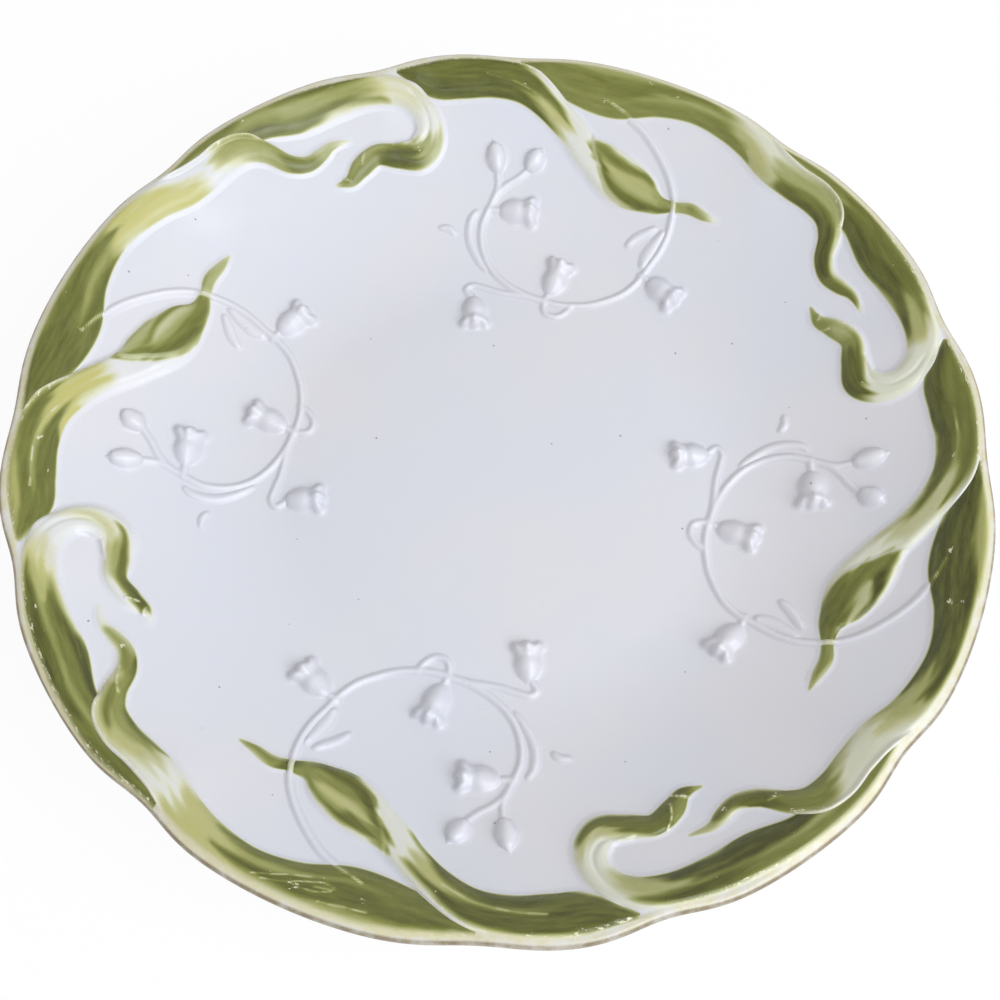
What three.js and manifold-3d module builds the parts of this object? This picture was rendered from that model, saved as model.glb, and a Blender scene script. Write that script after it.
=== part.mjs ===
// A moulded porcelain plate: a coupe body with a softly lobed rim on a foot ring, a wreath of
// twelve relief leaves round the rim and four lily-of-the-valley sprigs lying over the flank.
// Millimetres, +Z up. The origin is the middle of the circle on which the foot ring stands.

import * as THREE from 'three';
import { mergeVertices } from 'three/addons/utils/BufferGeometryUtils.js';
import Module from 'manifold-3d';

const wasm = await Module();
wasm.setup();

// Plate body
const RIM_RADIUS = 108;
const WELL_RADIUS = 48;
const RIM_RISE = 22.4;
const RIM_EASE = 0.6;
const BASE_THICKNESS = 4;
const WALL_THICKNESS = 3.8;
const LIP_THICKNESS = 2.6;

// Foot ring
const FOOT_RADIUS = 60;
const FOOT_WIDTH = 4.5;
const FOOT_HEIGHT = 3.2;
const FOOT_CHAMFER = 0.9;

// Fit between a relief piece and what it lies on or beside
const SEAT_GAP = 0.3;

// Relief of the ornament
const LEAF_CROWN = 1.5;
const LEAF_LIP = 1.15;
const LEAF_FULL_WIDTH = 2.4;
const LEAF_LIP_PLACE = 0.8;
const LEAF_RIDGE_REACH = 0.65;
const LEAF_SEAT_PLACE = 0.4;
const STEM_WIDTH = 1.8;
const STEM_HEIGHT = 1;
const STALK_WIDTH = 1.3;
const STALK_HEIGHT = 0.8;
const STALK_SEAT = 0.15;
const CORD_FLAT = 0.5;
const NECK_REACH = 2.5;
const BRACT_HEIGHT = 0.7;
const BRACT_FULL_WIDTH = 0.8;
const BELL_WIDTH = 8.4;
const BELL_HEIGHT = 2.1;
const BELL_FLOOR = 0.35;
const BUD_WIDTH = 5.4;
const BUD_HEIGHT = 1.8;

// The wreath and the sprig repeat round the plate
const REPEATS = 4;
const REPEAT_ANGLE = 360 / REPEATS;

// The rim draws in where one leaf passes under the next: angle, depth and angular spread
const NOTCHES = [
  { angle: -163, depth: 1.8, spread: 5.2 },
  { angle: -131, depth: 1.7, spread: 4.9 },
  { angle: -92.5, depth: 1.45, spread: 6.1 },
];
const NOTCH_REACH = 26;
const NOTCH_PASSES = 4;

// Leaf routes of the front repeat: angle, inset from the rim, half width and, where a leaf
// folds over, the place of its ridge across the width from -1 to 1.
const HOOK_LEAF = [
  [-129.5, 5.4, 2.6], [-134.7, 5.0, 3.0], [-140.0, 4.5, 3.1], [-145.4, 4.7, 3.5],
  [-150.7, 6.1, 4.2], [-156.0, 6.3, 3.7], [-161.1, 6.6, 3.2], [-164.9, 8.0, 3.1],
  [-167.2, 10.6, 3.0], [-168.7, 14.8, 3.0, -0.2], [-168.5, 19.0, 3.4, -0.4], [-166.5, 22.0, 3.4, -0.5],
  [-162.8, 21.5, 2.6, -0.5], [-159.5, 20.2, 2.1, -0.2], [-156.3, 21.8, 2.1], [-153.8, 23.8, 1.2],
  [-150.6, 23.3, 0.3],
];
const RIBBON_LEAF = [
  [-156.8, 15.5, 0.3], [-153.4, 15.1, 0.8], [-151.2, 16.1, 1.4], [-148.7, 16.8, 1.6],
  [-146.2, 15.1, 1.9], [-144.0, 10.9, 2.3], [-141.8, 8.2, 2.9], [-138.8, 7.5, 3.2],
  [-135.1, 8.1, 3.2], [-131.1, 7.9, 3.5], [-127.0, 5.6, 3.8], [-122.8, 4.6, 3.5],
  [-117.9, 4.3, 3.3], [-112.6, 5.1, 4.0], [-106.6, 6.6, 5.5], [-100.2, 6.0, 4.5],
  [-92.7, 3.7, 0.9],
];
const BLADE_LEAF = [
  [-130.0, 23.8, 0.3], [-127.1, 24.3, 0.9], [-124.0, 24.5, 1.2], [-121.4, 25.9, 1.1],
  [-118.5, 27.0, 2.2, 0.3], [-115.0, 26.1, 4.4, 0.7], [-111.2, 24.8, 5.4, 0.65], [-107.7, 22.8, 4.9, 0.4],
  [-104.3, 20.6, 3.7, -0.4], [-101.5, 17.2, 3.3, -0.6], [-97.9, 12.8, 3.3, -0.3], [-93.5, 8.5, 3.8],
  [-88.9, 6.8, 4.2], [-84.3, 6.5, 4.4], [-80.4, 6.4, 3.9], [-75.6, 3.7, 0.4],
];
// The neck of the blade leaf, where the sprig's stem lies across it
const BLADE_NECK = BLADE_LEAF[3];

// Sprig of the front repeat: angle and inset from the rim
const STEM_ROUTE = [
  [-108.6, 10.7], [-111.8, 13.0], [-115.0, 16.2], [-118.4, 20.3], [-120.7, 24.2], [-122.7, 30.4],
  [-123.4, 35.9], [-123.1, 40.9], [-122.9, 44.4], [-121.7, 48.9], [-119.2, 52.5], [-115.1, 56.0],
  [-108.8, 58.4], [-102.9, 58.7], [-96.2, 57.3], [-91.1, 54.6], [-87.5, 50.5], [-86.0, 45.4],
  [-86.2, 40.4], [-87.7, 36.1],
];
const STALK_ROUTES = [
  [[-122.5, 43.6], [-125.2, 43.5]],
  [[-110.8, 57.6], [-110.0, 60.0], [-107.4, 62.2], [-104.3, 62.0], [-103.0, 59.7], [-103.7, 55.7]],
  [[-102.3, 58.3], [-95.8, 58.1], [-90.0, 57.5], [-85.8, 56.2], [-82.8, 55.3], [-80.9, 56.2], [-82.4, 59.1]],
  [[-87.6, 36.3], [-90.6, 36.3]],
  [[-87.8, 36.1], [-89.1, 33.0], [-91.1, 30.5], [-93.3, 28.6], [-95.2, 26.2]],
  [[-88.9, 33.3], [-89.6, 30.7], [-89.5, 26.7]],
];
// Each bell or bud runs from its crown to the middle of its mouth or tip
const BELLS = [
  { crown: [-124.5, 43.5], mouth: [-132.1, 44.4], bud: false },
  { crown: [-103.6, 56.8], mouth: [-104.9, 48.0], bud: false },
  { crown: [-82.6, 58.3], mouth: [-81.6, 66.5], bud: false },
  { crown: [-89.8, 36.3], mouth: [-96.6, 36.5], bud: false },
  { crown: [-94.7, 27.0], mouth: [-96.9, 21.9], bud: true },
  { crown: [-89.6, 27.9], mouth: [-88.9, 20.7], bud: true },
];
const BRACTS = [
  [[-122.2, 30.7, 0.3], [-121.8, 34.9, 1.2], [-121.6, 38.9, 1.5], [-122.1, 42.5, 0.4]],
  [[-120.9, 30.9, 0.3], [-119.5, 33.4, 0.9], [-117.9, 36.0, 1.1], [-116.6, 39.4, 0.3]],
  [[-87.2, 52.5, 0.3], [-84.9, 48.6, 0.8], [-83.4, 43.2, 1.0], [-84.2, 38.2, 0.8], [-86.0, 35.7, 0.3]],
  [[-80.8, 42.2, 0.3], [-79.3, 40.1, 0.8], [-76.6, 39.3, 0.3]],
];

// Outline of a bell and of a bud: share of the length, share of the half width
const BELL_PROFILE = [[0, 0.25], [0.16, 0.62], [0.42, 0.84], [0.74, 0.8], [0.94, 1]];
// Bottom of a bell's hollow: share of the length, of the half width and of the height
const BELL_HOLLOW = { share: 0.72, wide: 0.62, tall: 0.45 };
const BUD_PROFILE = [[0, 0.25], [0.18, 0.7], [0.5, 1], [0.82, 0.75], [1, 0.3]];
const SCALLOP = 0.09;

// Fineness of the facets
const BODY_SIDES = 80;
const FLANK_STEPS = 8;
const LIP_TURNS = [45, 0, -45];
const UNDERSIDE_SHARES = [0.9, 0.6, 0.25];
const FOOT_SIDES = 48;
const LEAF_STEPS_PER_STATION = 2;
const STEM_STEPS = 26;
const STALK_STEPS_PER_STATION = 1.25;
const BRACT_STEPS = 5;
const ARCH_POINTS = 7;

// Colours
const GLAZE = new THREE.MeshStandardMaterial({ color: 0xdfe2ea, roughness: 0.18, metalness: 0 });
const BISCUIT = new THREE.MeshStandardMaterial({ color: 0xe6e1d6, roughness: 0.7, metalness: 0 });
const LEAF_GREEN = new THREE.MeshStandardMaterial({ color: 0x6f7638, roughness: 0.22, metalness: 0 });

const radians = THREE.MathUtils.degToRad;
const WELL_FLOOR = FOOT_HEIGHT + BASE_THICKNESS;

// How far the rim is drawn in at an angle in degrees
function notchDepth(angle) {
  let depth = 0;
  for (const notch of NOTCHES) {
    const turn = angle - notch.angle;
    const away = turn - REPEAT_ANGLE * Math.round(turn / REPEAT_ANGLE);
    depth += notch.depth * Math.exp(-((away / notch.spread) ** 2));
  }
  return depth;
}

// The notches fade out toward the well
function notchShare(radius) {
  return THREE.MathUtils.smoothstep(radius, RIM_RADIUS - NOTCH_REACH, RIM_RADIUS);
}

// Height of the upper surface on the plain, unnotched profile
function profileHeight(radius) {
  const reach = Math.max(0, (radius - WELL_RADIUS) / (RIM_RADIUS - WELL_RADIUS));
  const share = (1 + RIM_EASE) * reach ** 2 - RIM_EASE * reach ** 3;
  return WELL_FLOOR + RIM_RISE * share;
}

// Height of the plate's upper surface above a point
function ground(x, y) {
  const depth = notchDepth(THREE.MathUtils.radToDeg(Math.atan2(y, x)));
  const drawn = Math.hypot(x, y);
  let radius = drawn;
  for (let pass = 0; pass < NOTCH_PASSES; pass += 1) radius = drawn + depth * notchShare(radius);
  return profileHeight(radius);
}

// A point at an angle and an inset from the rim, in a repeat
function place(angle, inset, repeat) {
  const turned = radians(angle + REPEAT_ANGLE * repeat);
  const radius = RIM_RADIUS - inset;
  return new THREE.Vector2(radius * Math.cos(turned), radius * Math.sin(turned));
}

// A geometry from corners and triangles, with its faces turned outward
function closedGeometry(corners, triangles) {
  const geometry = new THREE.BufferGeometry();
  let volume = 0;
  for (const [a, b, c] of triangles) {
    volume += corners[a].dot(corners[b].clone().cross(corners[c]));
  }
  const faces = volume < 0 ? triangles.map(([a, b, c]) => [a, c, b]) : triangles;
  geometry.setAttribute('position', new THREE.Float32BufferAttribute(corners.flatMap((p) => p.toArray()), 3));
  geometry.setIndex(faces.flat());
  return geometry;
}

// A closed skin over rings of equal length, capped at both ends round the ring's last point
function loftRings(rings) {
  const count = rings[0].length;
  const corners = rings.flat();
  const triangles = [];
  for (let ring = 0; ring + 1 < rings.length; ring += 1) {
    for (let side = 0; side < count; side += 1) {
      const next = (side + 1) % count;
      const near = ring * count;
      const far = near + count;
      triangles.push([near + side, near + next, far + next], [near + side, far + next, far + side]);
    }
  }
  const end = (rings.length - 1) * count;
  for (let side = 0; side + 2 < count; side += 1) {
    triangles.push([count - 1, side + 1, side]);
    triangles.push([end + count - 1, end + side, end + side + 1]);
  }
  return closedGeometry(corners, triangles);
}

// Frames along a route on the plate: centre, direction across, half width and ridge
function frames(stations, steps, repeat) {
  const centres = stations.map(([angle, inset, half]) => {
    const spot = place(angle, inset, repeat);
    return new THREE.Vector3(spot.x, spot.y, half);
  });
  const curve = new THREE.CatmullRomCurve3(centres, false, 'centripetal');
  const ridges = stations.map((station) => station[3] ?? 0);
  return Array.from({ length: steps + 1 }, (_, step) => {
    const along = step / steps;
    const spot = curve.getPoint(along);
    const heading = curve.getTangent(along);
    const across = new THREE.Vector2(-heading.y, heading.x).normalize();
    const station = Math.min(along * (ridges.length - 1), ridges.length - 1 - 1e-6);
    const before = Math.floor(station);
    const ridge = THREE.MathUtils.lerp(ridges[before], ridges[before + 1], station - before);
    return { spot, across, half: spot.z, ridge };
  });
}

function leafRoute(stations, repeat) {
  return frames(stations, (stations.length - 1) * LEAF_STEPS_PER_STATION, repeat);
}

// A strip lying on the plate. section(frame) gives points across, from -1 to 1, with their
// height over the seat.
function strip(route, section, lift = () => 0) {
  const rings = route.map((frame) => section(frame).map(([side, height]) => {
    const x = frame.spot.x + frame.across.x * frame.half * side;
    const y = frame.spot.y + frame.across.y * frame.half * side;
    return new THREE.Vector3(x, y, ground(x, y) + SEAT_GAP + lift(x, y) + height);
  }));
  return loftRings(rings);
}

// An upright prism on a strip's footprint, grown by the fit, for cutting its neighbours
function footprint(route) {
  const top = profileHeight(RIM_RADIUS) + RIM_RISE;
  const rings = route.map((frame) => [[-1, 0], [1, 0], [1, top], [-1, top]].map(([side, z]) => {
    const reach = side * (frame.half + SEAT_GAP);
    return new THREE.Vector3(frame.spot.x + frame.across.x * reach, frame.spot.y + frame.across.y * reach, z);
  }));
  return loftRings(rings);
}

function toSolid(geometry) {
  const triVerts = Uint32Array.from(geometry.getIndex().array);
  const vertProperties = Float32Array.from(geometry.getAttribute('position').array);
  return new wasm.Manifold(new wasm.Mesh({ numProp: 3, vertProperties, triVerts }));
}

function toGeometry(solid) {
  const mesh = solid.getMesh();
  const geometry = new THREE.BufferGeometry();
  geometry.setAttribute('position', new THREE.BufferAttribute(mesh.vertProperties, 3));
  geometry.setIndex(new THREE.BufferAttribute(mesh.triVerts, 1));
  return geometry;
}

function cut(geometry, cutters) {
  let solid = toSolid(geometry);
  for (const cutter of cutters) solid = solid.subtract(toSolid(cutter));
  return toGeometry(solid);
}

function join(geometries) {
  let solid = toSolid(geometries[0]);
  for (const geometry of geometries.slice(1)) solid = solid.add(toSolid(geometry));
  return toGeometry(solid);
}

// Revolved about the Z axis from a profile of radius and height that runs outward over the top
function revolve(profile, sides) {
  const points = profile.map(([radius, height]) => new THREE.Vector2(radius, height)).reverse();
  const geometry = new THREE.LatheGeometry(points, sides);
  geometry.rotateX(Math.PI / 2);
  geometry.deleteAttribute('normal');
  geometry.deleteAttribute('uv');
  return mergeVertices(geometry, 1e-4);
}

// Body: one profile from axis to axis, over the well and the flank, round the lip and back
function plateBody() {
  const profile = [[0, WELL_FLOOR]];
  const lip = LIP_THICKNESS / 2;
  const edge = RIM_RADIUS - lip;
  for (let step = 0; step <= FLANK_STEPS; step += 1) {
    const radius = THREE.MathUtils.lerp(WELL_RADIUS, edge, step / FLANK_STEPS);
    profile.push([radius, profileHeight(radius)]);
  }
  const lipHeight = profileHeight(edge) - lip;
  for (const turn of LIP_TURNS) {
    profile.push([edge + lip * Math.cos(radians(turn)), lipHeight + lip * Math.sin(radians(turn))]);
  }
  const skirt = FOOT_RADIUS + FOOT_WIDTH;
  for (const share of UNDERSIDE_SHARES) {
    const radius = THREE.MathUtils.lerp(skirt, edge, share);
    const wall = THREE.MathUtils.lerp(WALL_THICKNESS, LIP_THICKNESS, share ** 3);
    profile.push([radius, Math.max(profileHeight(radius) - wall, FOOT_HEIGHT)]);
  }
  profile.push([skirt, FOOT_HEIGHT], [0, FOOT_HEIGHT]);

  const geometry = revolve(profile, BODY_SIDES);
  const corners = geometry.getAttribute('position');
  for (let corner = 0; corner < corners.count; corner += 1) {
    const x = corners.getX(corner);
    const y = corners.getY(corner);
    const radius = Math.hypot(x, y);
    if (radius < WELL_RADIUS) continue;
    const depth = notchDepth(THREE.MathUtils.radToDeg(Math.atan2(y, x))) * notchShare(radius);
    corners.setX(corner, x * (1 - depth / radius));
    corners.setY(corner, y * (1 - depth / radius));
  }
  return geometry;
}

// Foot ring: a low ring with eased edges, standing on a narrow flat
function footRing() {
  const inner = FOOT_RADIUS - FOOT_WIDTH / 2;
  const outer = FOOT_RADIUS + FOOT_WIDTH / 2;
  const top = FOOT_HEIGHT - SEAT_GAP;
  return revolve([
    [inner + FOOT_CHAMFER, 0], [inner, FOOT_CHAMFER], [inner - FOOT_CHAMFER, top],
    [outer + FOOT_CHAMFER, top], [outer, FOOT_CHAMFER], [outer - FOOT_CHAMFER, 0],
    [inner + FOOT_CHAMFER, 0],
  ], FOOT_SIDES);
}

// Leaf section: raised lips along both edges and a ridge between them, over a thin seat
function leafSection({ half, ridge }) {
  const share = Math.min(1, half / LEAF_FULL_WIDTH);
  const lip = LEAF_LIP * share;
  const crown = [ridge * LEAF_RIDGE_REACH, LEAF_CROWN * share];
  return [
    [-1, 0], [-LEAF_LIP_PLACE, lip], crown, [LEAF_LIP_PLACE, lip], [1, 0],
    [LEAF_SEAT_PLACE, 0], [-LEAF_SEAT_PLACE, 0],
  ];
}

// A low half-round section for stems and stalks
function cordSection(height) {
  return () => [[-1, 0], [-CORD_FLAT, height], [CORD_FLAT, height], [1, 0]];
}

function bractSection({ half }) {
  const height = BRACT_HEIGHT * Math.min(1, half / BRACT_FULL_WIDTH);
  return [[-1, 0], [0, height], [1, 0]];
}

// Arched rings of a bell or bud, with points over half a turn and one under the middle
function arch(shape, repeat, share, width, height, scallop = 0, floor = 0) {
  const crown = place(...shape.crown, repeat);
  const mouth = place(...shape.mouth, repeat);
  const axis = mouth.clone().sub(crown);
  const across = new THREE.Vector2(-axis.y, axis.x).normalize();
  const ring = [];
  for (let point = 0; point < ARCH_POINTS; point += 1) {
    const turn = Math.PI * point / (ARCH_POINTS - 1);
    const along = share + (point % 2 === 1 ? scallop : 0);
    const side = -Math.cos(turn) * width / 2;
    const spot = crown.clone().addScaledVector(axis, along).addScaledVector(across, side);
    const rise = SEAT_GAP + floor + Math.sin(turn) * height;
    ring.push(new THREE.Vector3(spot.x, spot.y, ground(spot.x, spot.y) + rise));
  }
  const under = crown.clone().addScaledVector(axis, share);
  ring.push(new THREE.Vector3(under.x, under.y, ground(under.x, under.y) + SEAT_GAP + floor));
  return ring;
}

// Bell: a swelling cup with a flared, scalloped mouth that is hollowed a little. Bud: closed.
function bell(shape, repeat) {
  const profile = shape.bud ? BUD_PROFILE : BELL_PROFILE;
  const width = shape.bud ? BUD_WIDTH : BELL_WIDTH;
  const height = shape.bud ? BUD_HEIGHT : BELL_HEIGHT;
  const last = profile.length - 1;
  const rings = profile.map(([share, wide], step) => {
    const scallop = !shape.bud && step === last ? SCALLOP : 0;
    return arch(shape, repeat, share, width * wide, height * wide, scallop);
  });
  if (!shape.bud) {
    const { share, wide, tall } = BELL_HOLLOW;
    rings.push(arch(shape, repeat, share, width * wide, height * tall, 0, BELL_FLOOR));
  }
  return loftRings(rings);
}

// A bell's outline grown by the fit, as a prism, for trimming the stalk that carries it
function bellFootprint(shape, repeat) {
  const width = (shape.bud ? BUD_WIDTH : BELL_WIDTH) / 2;
  const profile = shape.bud ? BUD_PROFILE : BELL_PROFILE;
  const crown = place(...shape.crown, repeat);
  const mouth = place(...shape.mouth, repeat);
  const axis = mouth.clone().sub(crown);
  const start = crown.clone().addScaledVector(axis.clone().normalize(), -SEAT_GAP);
  const across = new THREE.Vector2(-axis.y, axis.x).normalize();
  const route = profile.map(([share, wide], step) => {
    const spot = step === 0 ? start : crown.clone().addScaledVector(axis, share);
    return { spot, across, half: width * wide };
  });
  return footprint(route);
}

function withWidth(route, width) {
  return route.map(([angle, inset]) => [angle, inset, width / 2]);
}

// The stem is carried over the blade leaf's neck
function neckLift(repeat) {
  const neck = place(BLADE_NECK[0], BLADE_NECK[1], repeat);
  const half = BLADE_NECK[2];
  const height = LEAF_CROWN * Math.min(1, half / LEAF_FULL_WIDTH) + SEAT_GAP;
  return (x, y) => {
    const away = Math.hypot(x - neck.x, y - neck.y);
    return height * (1 - THREE.MathUtils.smoothstep(away, half + STEM_WIDTH, half + STEM_WIDTH + NECK_REACH));
  };
}

function named(name, geometry, material) {
  const mesh = new THREE.Mesh(geometry, material);
  mesh.name = name;
  return mesh;
}

const plate = new THREE.Group();
plate.add(named('plate_body', plateBody(), GLAZE));
plate.add(named('foot_ring', footRing(), BISCUIT));

for (let repeat = 0; repeat < REPEATS; repeat += 1) {
  const number = repeat + 1;
  const hook = leafRoute(HOOK_LEAF, repeat);
  const ribbon = leafRoute(RIBBON_LEAF, repeat);
  const blade = leafRoute(BLADE_LEAF, repeat);
  const nextHook = leafRoute(HOOK_LEAF, repeat + 1);

  // Each leaf passes under the next one in the wreath
  plate.add(named(`hook_leaf_${number}`, cut(strip(hook, leafSection), [footprint(ribbon)]), LEAF_GREEN));
  plate.add(named(`ribbon_leaf_${number}`, cut(strip(ribbon, leafSection), [footprint(blade)]), LEAF_GREEN));
  plate.add(named(`blade_leaf_${number}`, cut(strip(blade, leafSection), [footprint(nextHook)]), LEAF_GREEN));

  const stem = frames(withWidth(STEM_ROUTE, STEM_WIDTH), STEM_STEPS, repeat);
  const stalks = STALK_ROUTES.map((route) => {
    const steps = Math.ceil((route.length - 1) * STALK_STEPS_PER_STATION);
    return frames(withWidth(route, STALK_WIDTH), steps, repeat);
  });
  const stemParts = [
    strip(stem, cordSection(STEM_HEIGHT), neckLift(repeat)),
    ...stalks.map((stalk) => strip(stalk, cordSection(STALK_HEIGHT), () => STALK_SEAT)),
  ];
  const trims = [footprint(ribbon), ...BELLS.map((shape) => bellFootprint(shape, repeat))];
  plate.add(named(`sprig_${number}_stem`, cut(join(stemParts), trims), GLAZE));

  BELLS.forEach((shape, index) => {
    const kind = shape.bud ? 'bud' : 'bell';
    plate.add(named(`sprig_${number}_${kind}_${index + 1}`, bell(shape, repeat), GLAZE));
  });
  BRACTS.forEach((stations, index) => {
    const route = frames(stations, BRACT_STEPS, repeat);
    const cutters = [footprint(stem), ...stalks.map((stalk) => footprint(stalk))];
    plate.add(named(`sprig_${number}_bract_${index + 1}`, cut(strip(route, bractSection), cutters), GLAZE));
  });
}

export default plate;
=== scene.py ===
"""Looks of the porcelain plate: glazed body, painted relief leaves and white lily sprigs.

Lengths are in millimetres until a mesh is made. Angles are in degrees, and the front of the plate
faces -Y. The ornament repeats four times round the plate: front, right, back and left.
"""

import math
from typing import NamedTuple

import bpy
import numpy as np
from mathutils import Matrix, Vector


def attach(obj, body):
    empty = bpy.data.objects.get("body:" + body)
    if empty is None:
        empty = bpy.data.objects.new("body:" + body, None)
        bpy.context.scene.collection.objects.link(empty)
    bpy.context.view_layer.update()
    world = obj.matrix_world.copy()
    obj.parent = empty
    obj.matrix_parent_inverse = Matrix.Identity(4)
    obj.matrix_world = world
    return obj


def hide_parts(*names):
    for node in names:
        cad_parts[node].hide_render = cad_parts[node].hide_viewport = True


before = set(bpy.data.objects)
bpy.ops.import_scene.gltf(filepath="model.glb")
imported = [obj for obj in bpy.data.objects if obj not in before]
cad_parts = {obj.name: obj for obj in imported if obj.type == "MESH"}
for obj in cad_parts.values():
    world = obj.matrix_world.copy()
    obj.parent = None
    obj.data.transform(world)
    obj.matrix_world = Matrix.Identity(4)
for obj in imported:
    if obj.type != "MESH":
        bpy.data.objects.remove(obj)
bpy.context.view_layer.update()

MM = 0.001
# A distance beyond any on the plate
FAR = 1e9

# Body and foot, as in the part's source
RIM_RADIUS = 108
WELL_RADIUS = 48
RIM_RISE = 22.4
RIM_EASE = 0.6
BASE_THICKNESS = 4
WALL_THICKNESS = 3.8
LIP_THICKNESS = 2.6
FOOT_RADIUS = 60
FOOT_WIDTH = 4.5
FOOT_HEIGHT = 3.2
FOOT_CHAMFER = 0.9
FOOT_TUCK = 0.1
WELL_FLOOR = FOOT_HEIGHT + BASE_THICKNESS
REPEATS = 4
REPEAT_ANGLE = 360 / REPEATS
NOTCH_REACH = 26
# Notches of one repeat of the rim: angle, depth and spread
NOTCHES = [(-163, 1.8, 5.2), (-131, 1.7, 4.9), (-92.5, 1.45, 6.1)]

# Leaves: the section of the leaf, its tip, the skirt that blends it into the glaze
LEAF_CROWN = 1.55
LEAF_LIP = 1.2
LEAF_FULL_WIDTH = 2.4
LEAF_ROUND = 1.5
LEAF_ROUND_SHARE = 0.8
LEAF_RIM_GAP = 0.5
BEAD_HEIGHT = 0.06
BEAD_INSET = 0.6
BEAD_WIDTH = 0.35
TIP_HEIGHT = 0.05
TIP_FADE = 3.5
TIP_POINT = 5.0
TIP_TAPER = 0.7
SKIRT = 1.3
SKIRT_LEAST = 0.3
SKIRT_GROWTH = 0.6
# Where leaves lap: how deep the upper one's edge dips, and how broad its bared edge is
LAP_DIP = 0.6
LAP_EDGE = 1.2
LAP_LINE_INSET = 0.1
LAP_LINE_WIDTH = 0.3
LAP_LINE_BARE = 0.8
LAP_LINE_LEAST = 0.4
# Leaves thin out within this of the start of the lip
LIP_THIN = 1.5
# Raised lines: the share that fades at each end, the share of the width that is bare of paint
LINE_FADE = 0.12
LINE_BARE_WIDTH = 0.7
LINE_LEAST_BARE = 0.35
# Where a blade leaf turns over: the step up to its green side and down to its back
FOLD_RISE = 0.32
FOLD_RISE_REACH = 2.5
FOLD_DROP = 0.38
FOLD_DROP_REACH = 2.2
FOLD_LINE_WIDTH = 0.4
FOLD_FADE = 0.15

# Sprigs
STEM_WIDTH = 0.5
STEM_HEIGHT = 0.75
STALK_WIDTH = 0.45
STALK_HEIGHT = 0.65
CORD_SKIRT = 0.85
CORD_DIP = 0.5
CORD_BLEND = 6
CORD_BLEND_SHARE = 0.6
BRACT_HEIGHT = 0.6
BRACT_FULL_WIDTH = 0.8
BRACT_SKIRT = 0.6
BRACT_TIP = 1.5
BELL_WIDTH = 7.8
BELL_HEIGHT = 2.9
BELL_SKIRT = 2.0
BELL_FLUTE = 0.9
BELL_CRIMP = 0.7
BELL_LOBES = 3
BUD_WIDTH = 5.4
BUD_HEIGHT = 2.2
BUD_CLEFT = 0.16
# Shares of a bell's length, where its mesh starts and stops and where mouth, lobes and neck lie
BELL_START = -0.3
BELL_STOP = 1.45
BELL_MOUTH = 0.93
BELL_LOBE = 0.13
BELL_NECK = 0.7
BELL_NECK_WIDTH = 0.1
# Shares of its height and breadth
BELL_NECK_DEPTH = 0.22
BUD_CLEFT_WIDTH = 0.22
BELL_ARCH = 1.15
# How deep edges lie under the glaze, covered parts under other parts, and the undersides
SUNK = 0.003
BURIED = 0.4
UNDERSIDE = 0.7

# Fineness of the meshes
BODY_SIDES = 720
RING_GAP = 4
WELL_RINGS = 11
FLANK_RINGS = 66
LIP_RINGS = 22
UNDER_RINGS = 34
BASE_RINGS = 12
FOOT_ARC_RINGS = 7
FOOT_FLARE_RINGS = 8
LEAF_STEP = 0.3
LEAF_COLUMNS = 35
LEAF_SKIRT_COLUMNS = 4
BELL_ROWS = 96
BELL_COLUMNS = 45
BELL_SKIRT_COLUMNS = 10
BELL_SOFTENING = 40
BRACT_STEP = 0.2
BRACT_COLUMNS = 19
CORD_STEP = 0.2
CORD_ROUTE_STEP = 0.25
CORD_MARGIN = 2.5
CORD_LOOK = 3.2
CORD_SOFTENING = 9

# Strokes: how they fade at their ends and sides, more so with a soft brush, and how crisp they
# are where they run along a leaf's edge
STROKE_START = 0.2
STROKE_END = 1.2
STROKE_END_SOFT = 6.5
STROKE_BLUR = 0.3
STROKE_BLUR_SOFT = 1.4
CRISP_FROM = 0.75
CRISP_TO = 1.15
CRISP_SHARE = 0.75
CRISP_SPREAD = 0.3
# Unevenness of the brush, in stations and in places across
RAGGED_STATION = 0.32
RAGGED_PLACE = 0.03
# How far apart the brush streaks of two leaves are drawn from the same noise
LAY_APART = 7.3
# How far the lip's colours move out where paint runs over it
SPILL_REACH = 1.3
# It does so in steps: the share, and the stations where a step starts and is full
SPILL_STEPS = [(0.4, 8, 6.5), (0.6, 3.2, 1.6)]
# How yellow the bared edges are; on a blade's turn that cream is partly painted highlight
CREAM_YELLOW = 0.3
# Band along the rim where paint chips off
CHIP_INSET = 0.25
CHIP_WIDTH = 0.6

# Leaf routes of the front repeat: angle, inset from the rim, half width, place of the ridge
HOOK_LEAF = [
    (-129.5, 5.4, 2.6), (-134.7, 5, 3), (-140, 4.5, 3.1), (-145.4, 4.7, 3.5), (-150.7, 6.1, 4.2),
    (-156, 6.3, 3.7), (-161.1, 6.6, 3.2), (-164.9, 8, 3.1), (-167.2, 10.6, 3), (-168.7, 14.8, 3, -0.2),
    (-168.5, 19, 3.4, -0.4), (-166.5, 22, 3.4, -0.5), (-162.8, 21.5, 2.6, -0.5),
    (-159.5, 20.2, 2.1, -0.2), (-156.3, 21.8, 2.1), (-153.8, 23.8, 1.2), (-150.6, 23.3, 0.3),
]
RIBBON_LEAF = [
    (-156.8, 15.5, 0.3), (-153.4, 15.1, 0.8), (-151.2, 16.1, 1.4), (-148.7, 16.8, 1.6),
    (-146.2, 15.1, 1.9), (-144, 10.9, 2.3), (-141.8, 8.2, 2.9), (-138.8, 7.5, 3.2), (-135.1, 8.1, 3.2),
    (-131.1, 7.9, 3.5), (-127, 5.6, 3.8), (-122.8, 4.6, 3.5), (-117.9, 4.3, 3.3), (-112.6, 5.1, 4),
    (-106.6, 6.6, 5.5), (-100.2, 6, 4.5), (-92.7, 3.7, 0.9),
]
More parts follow.
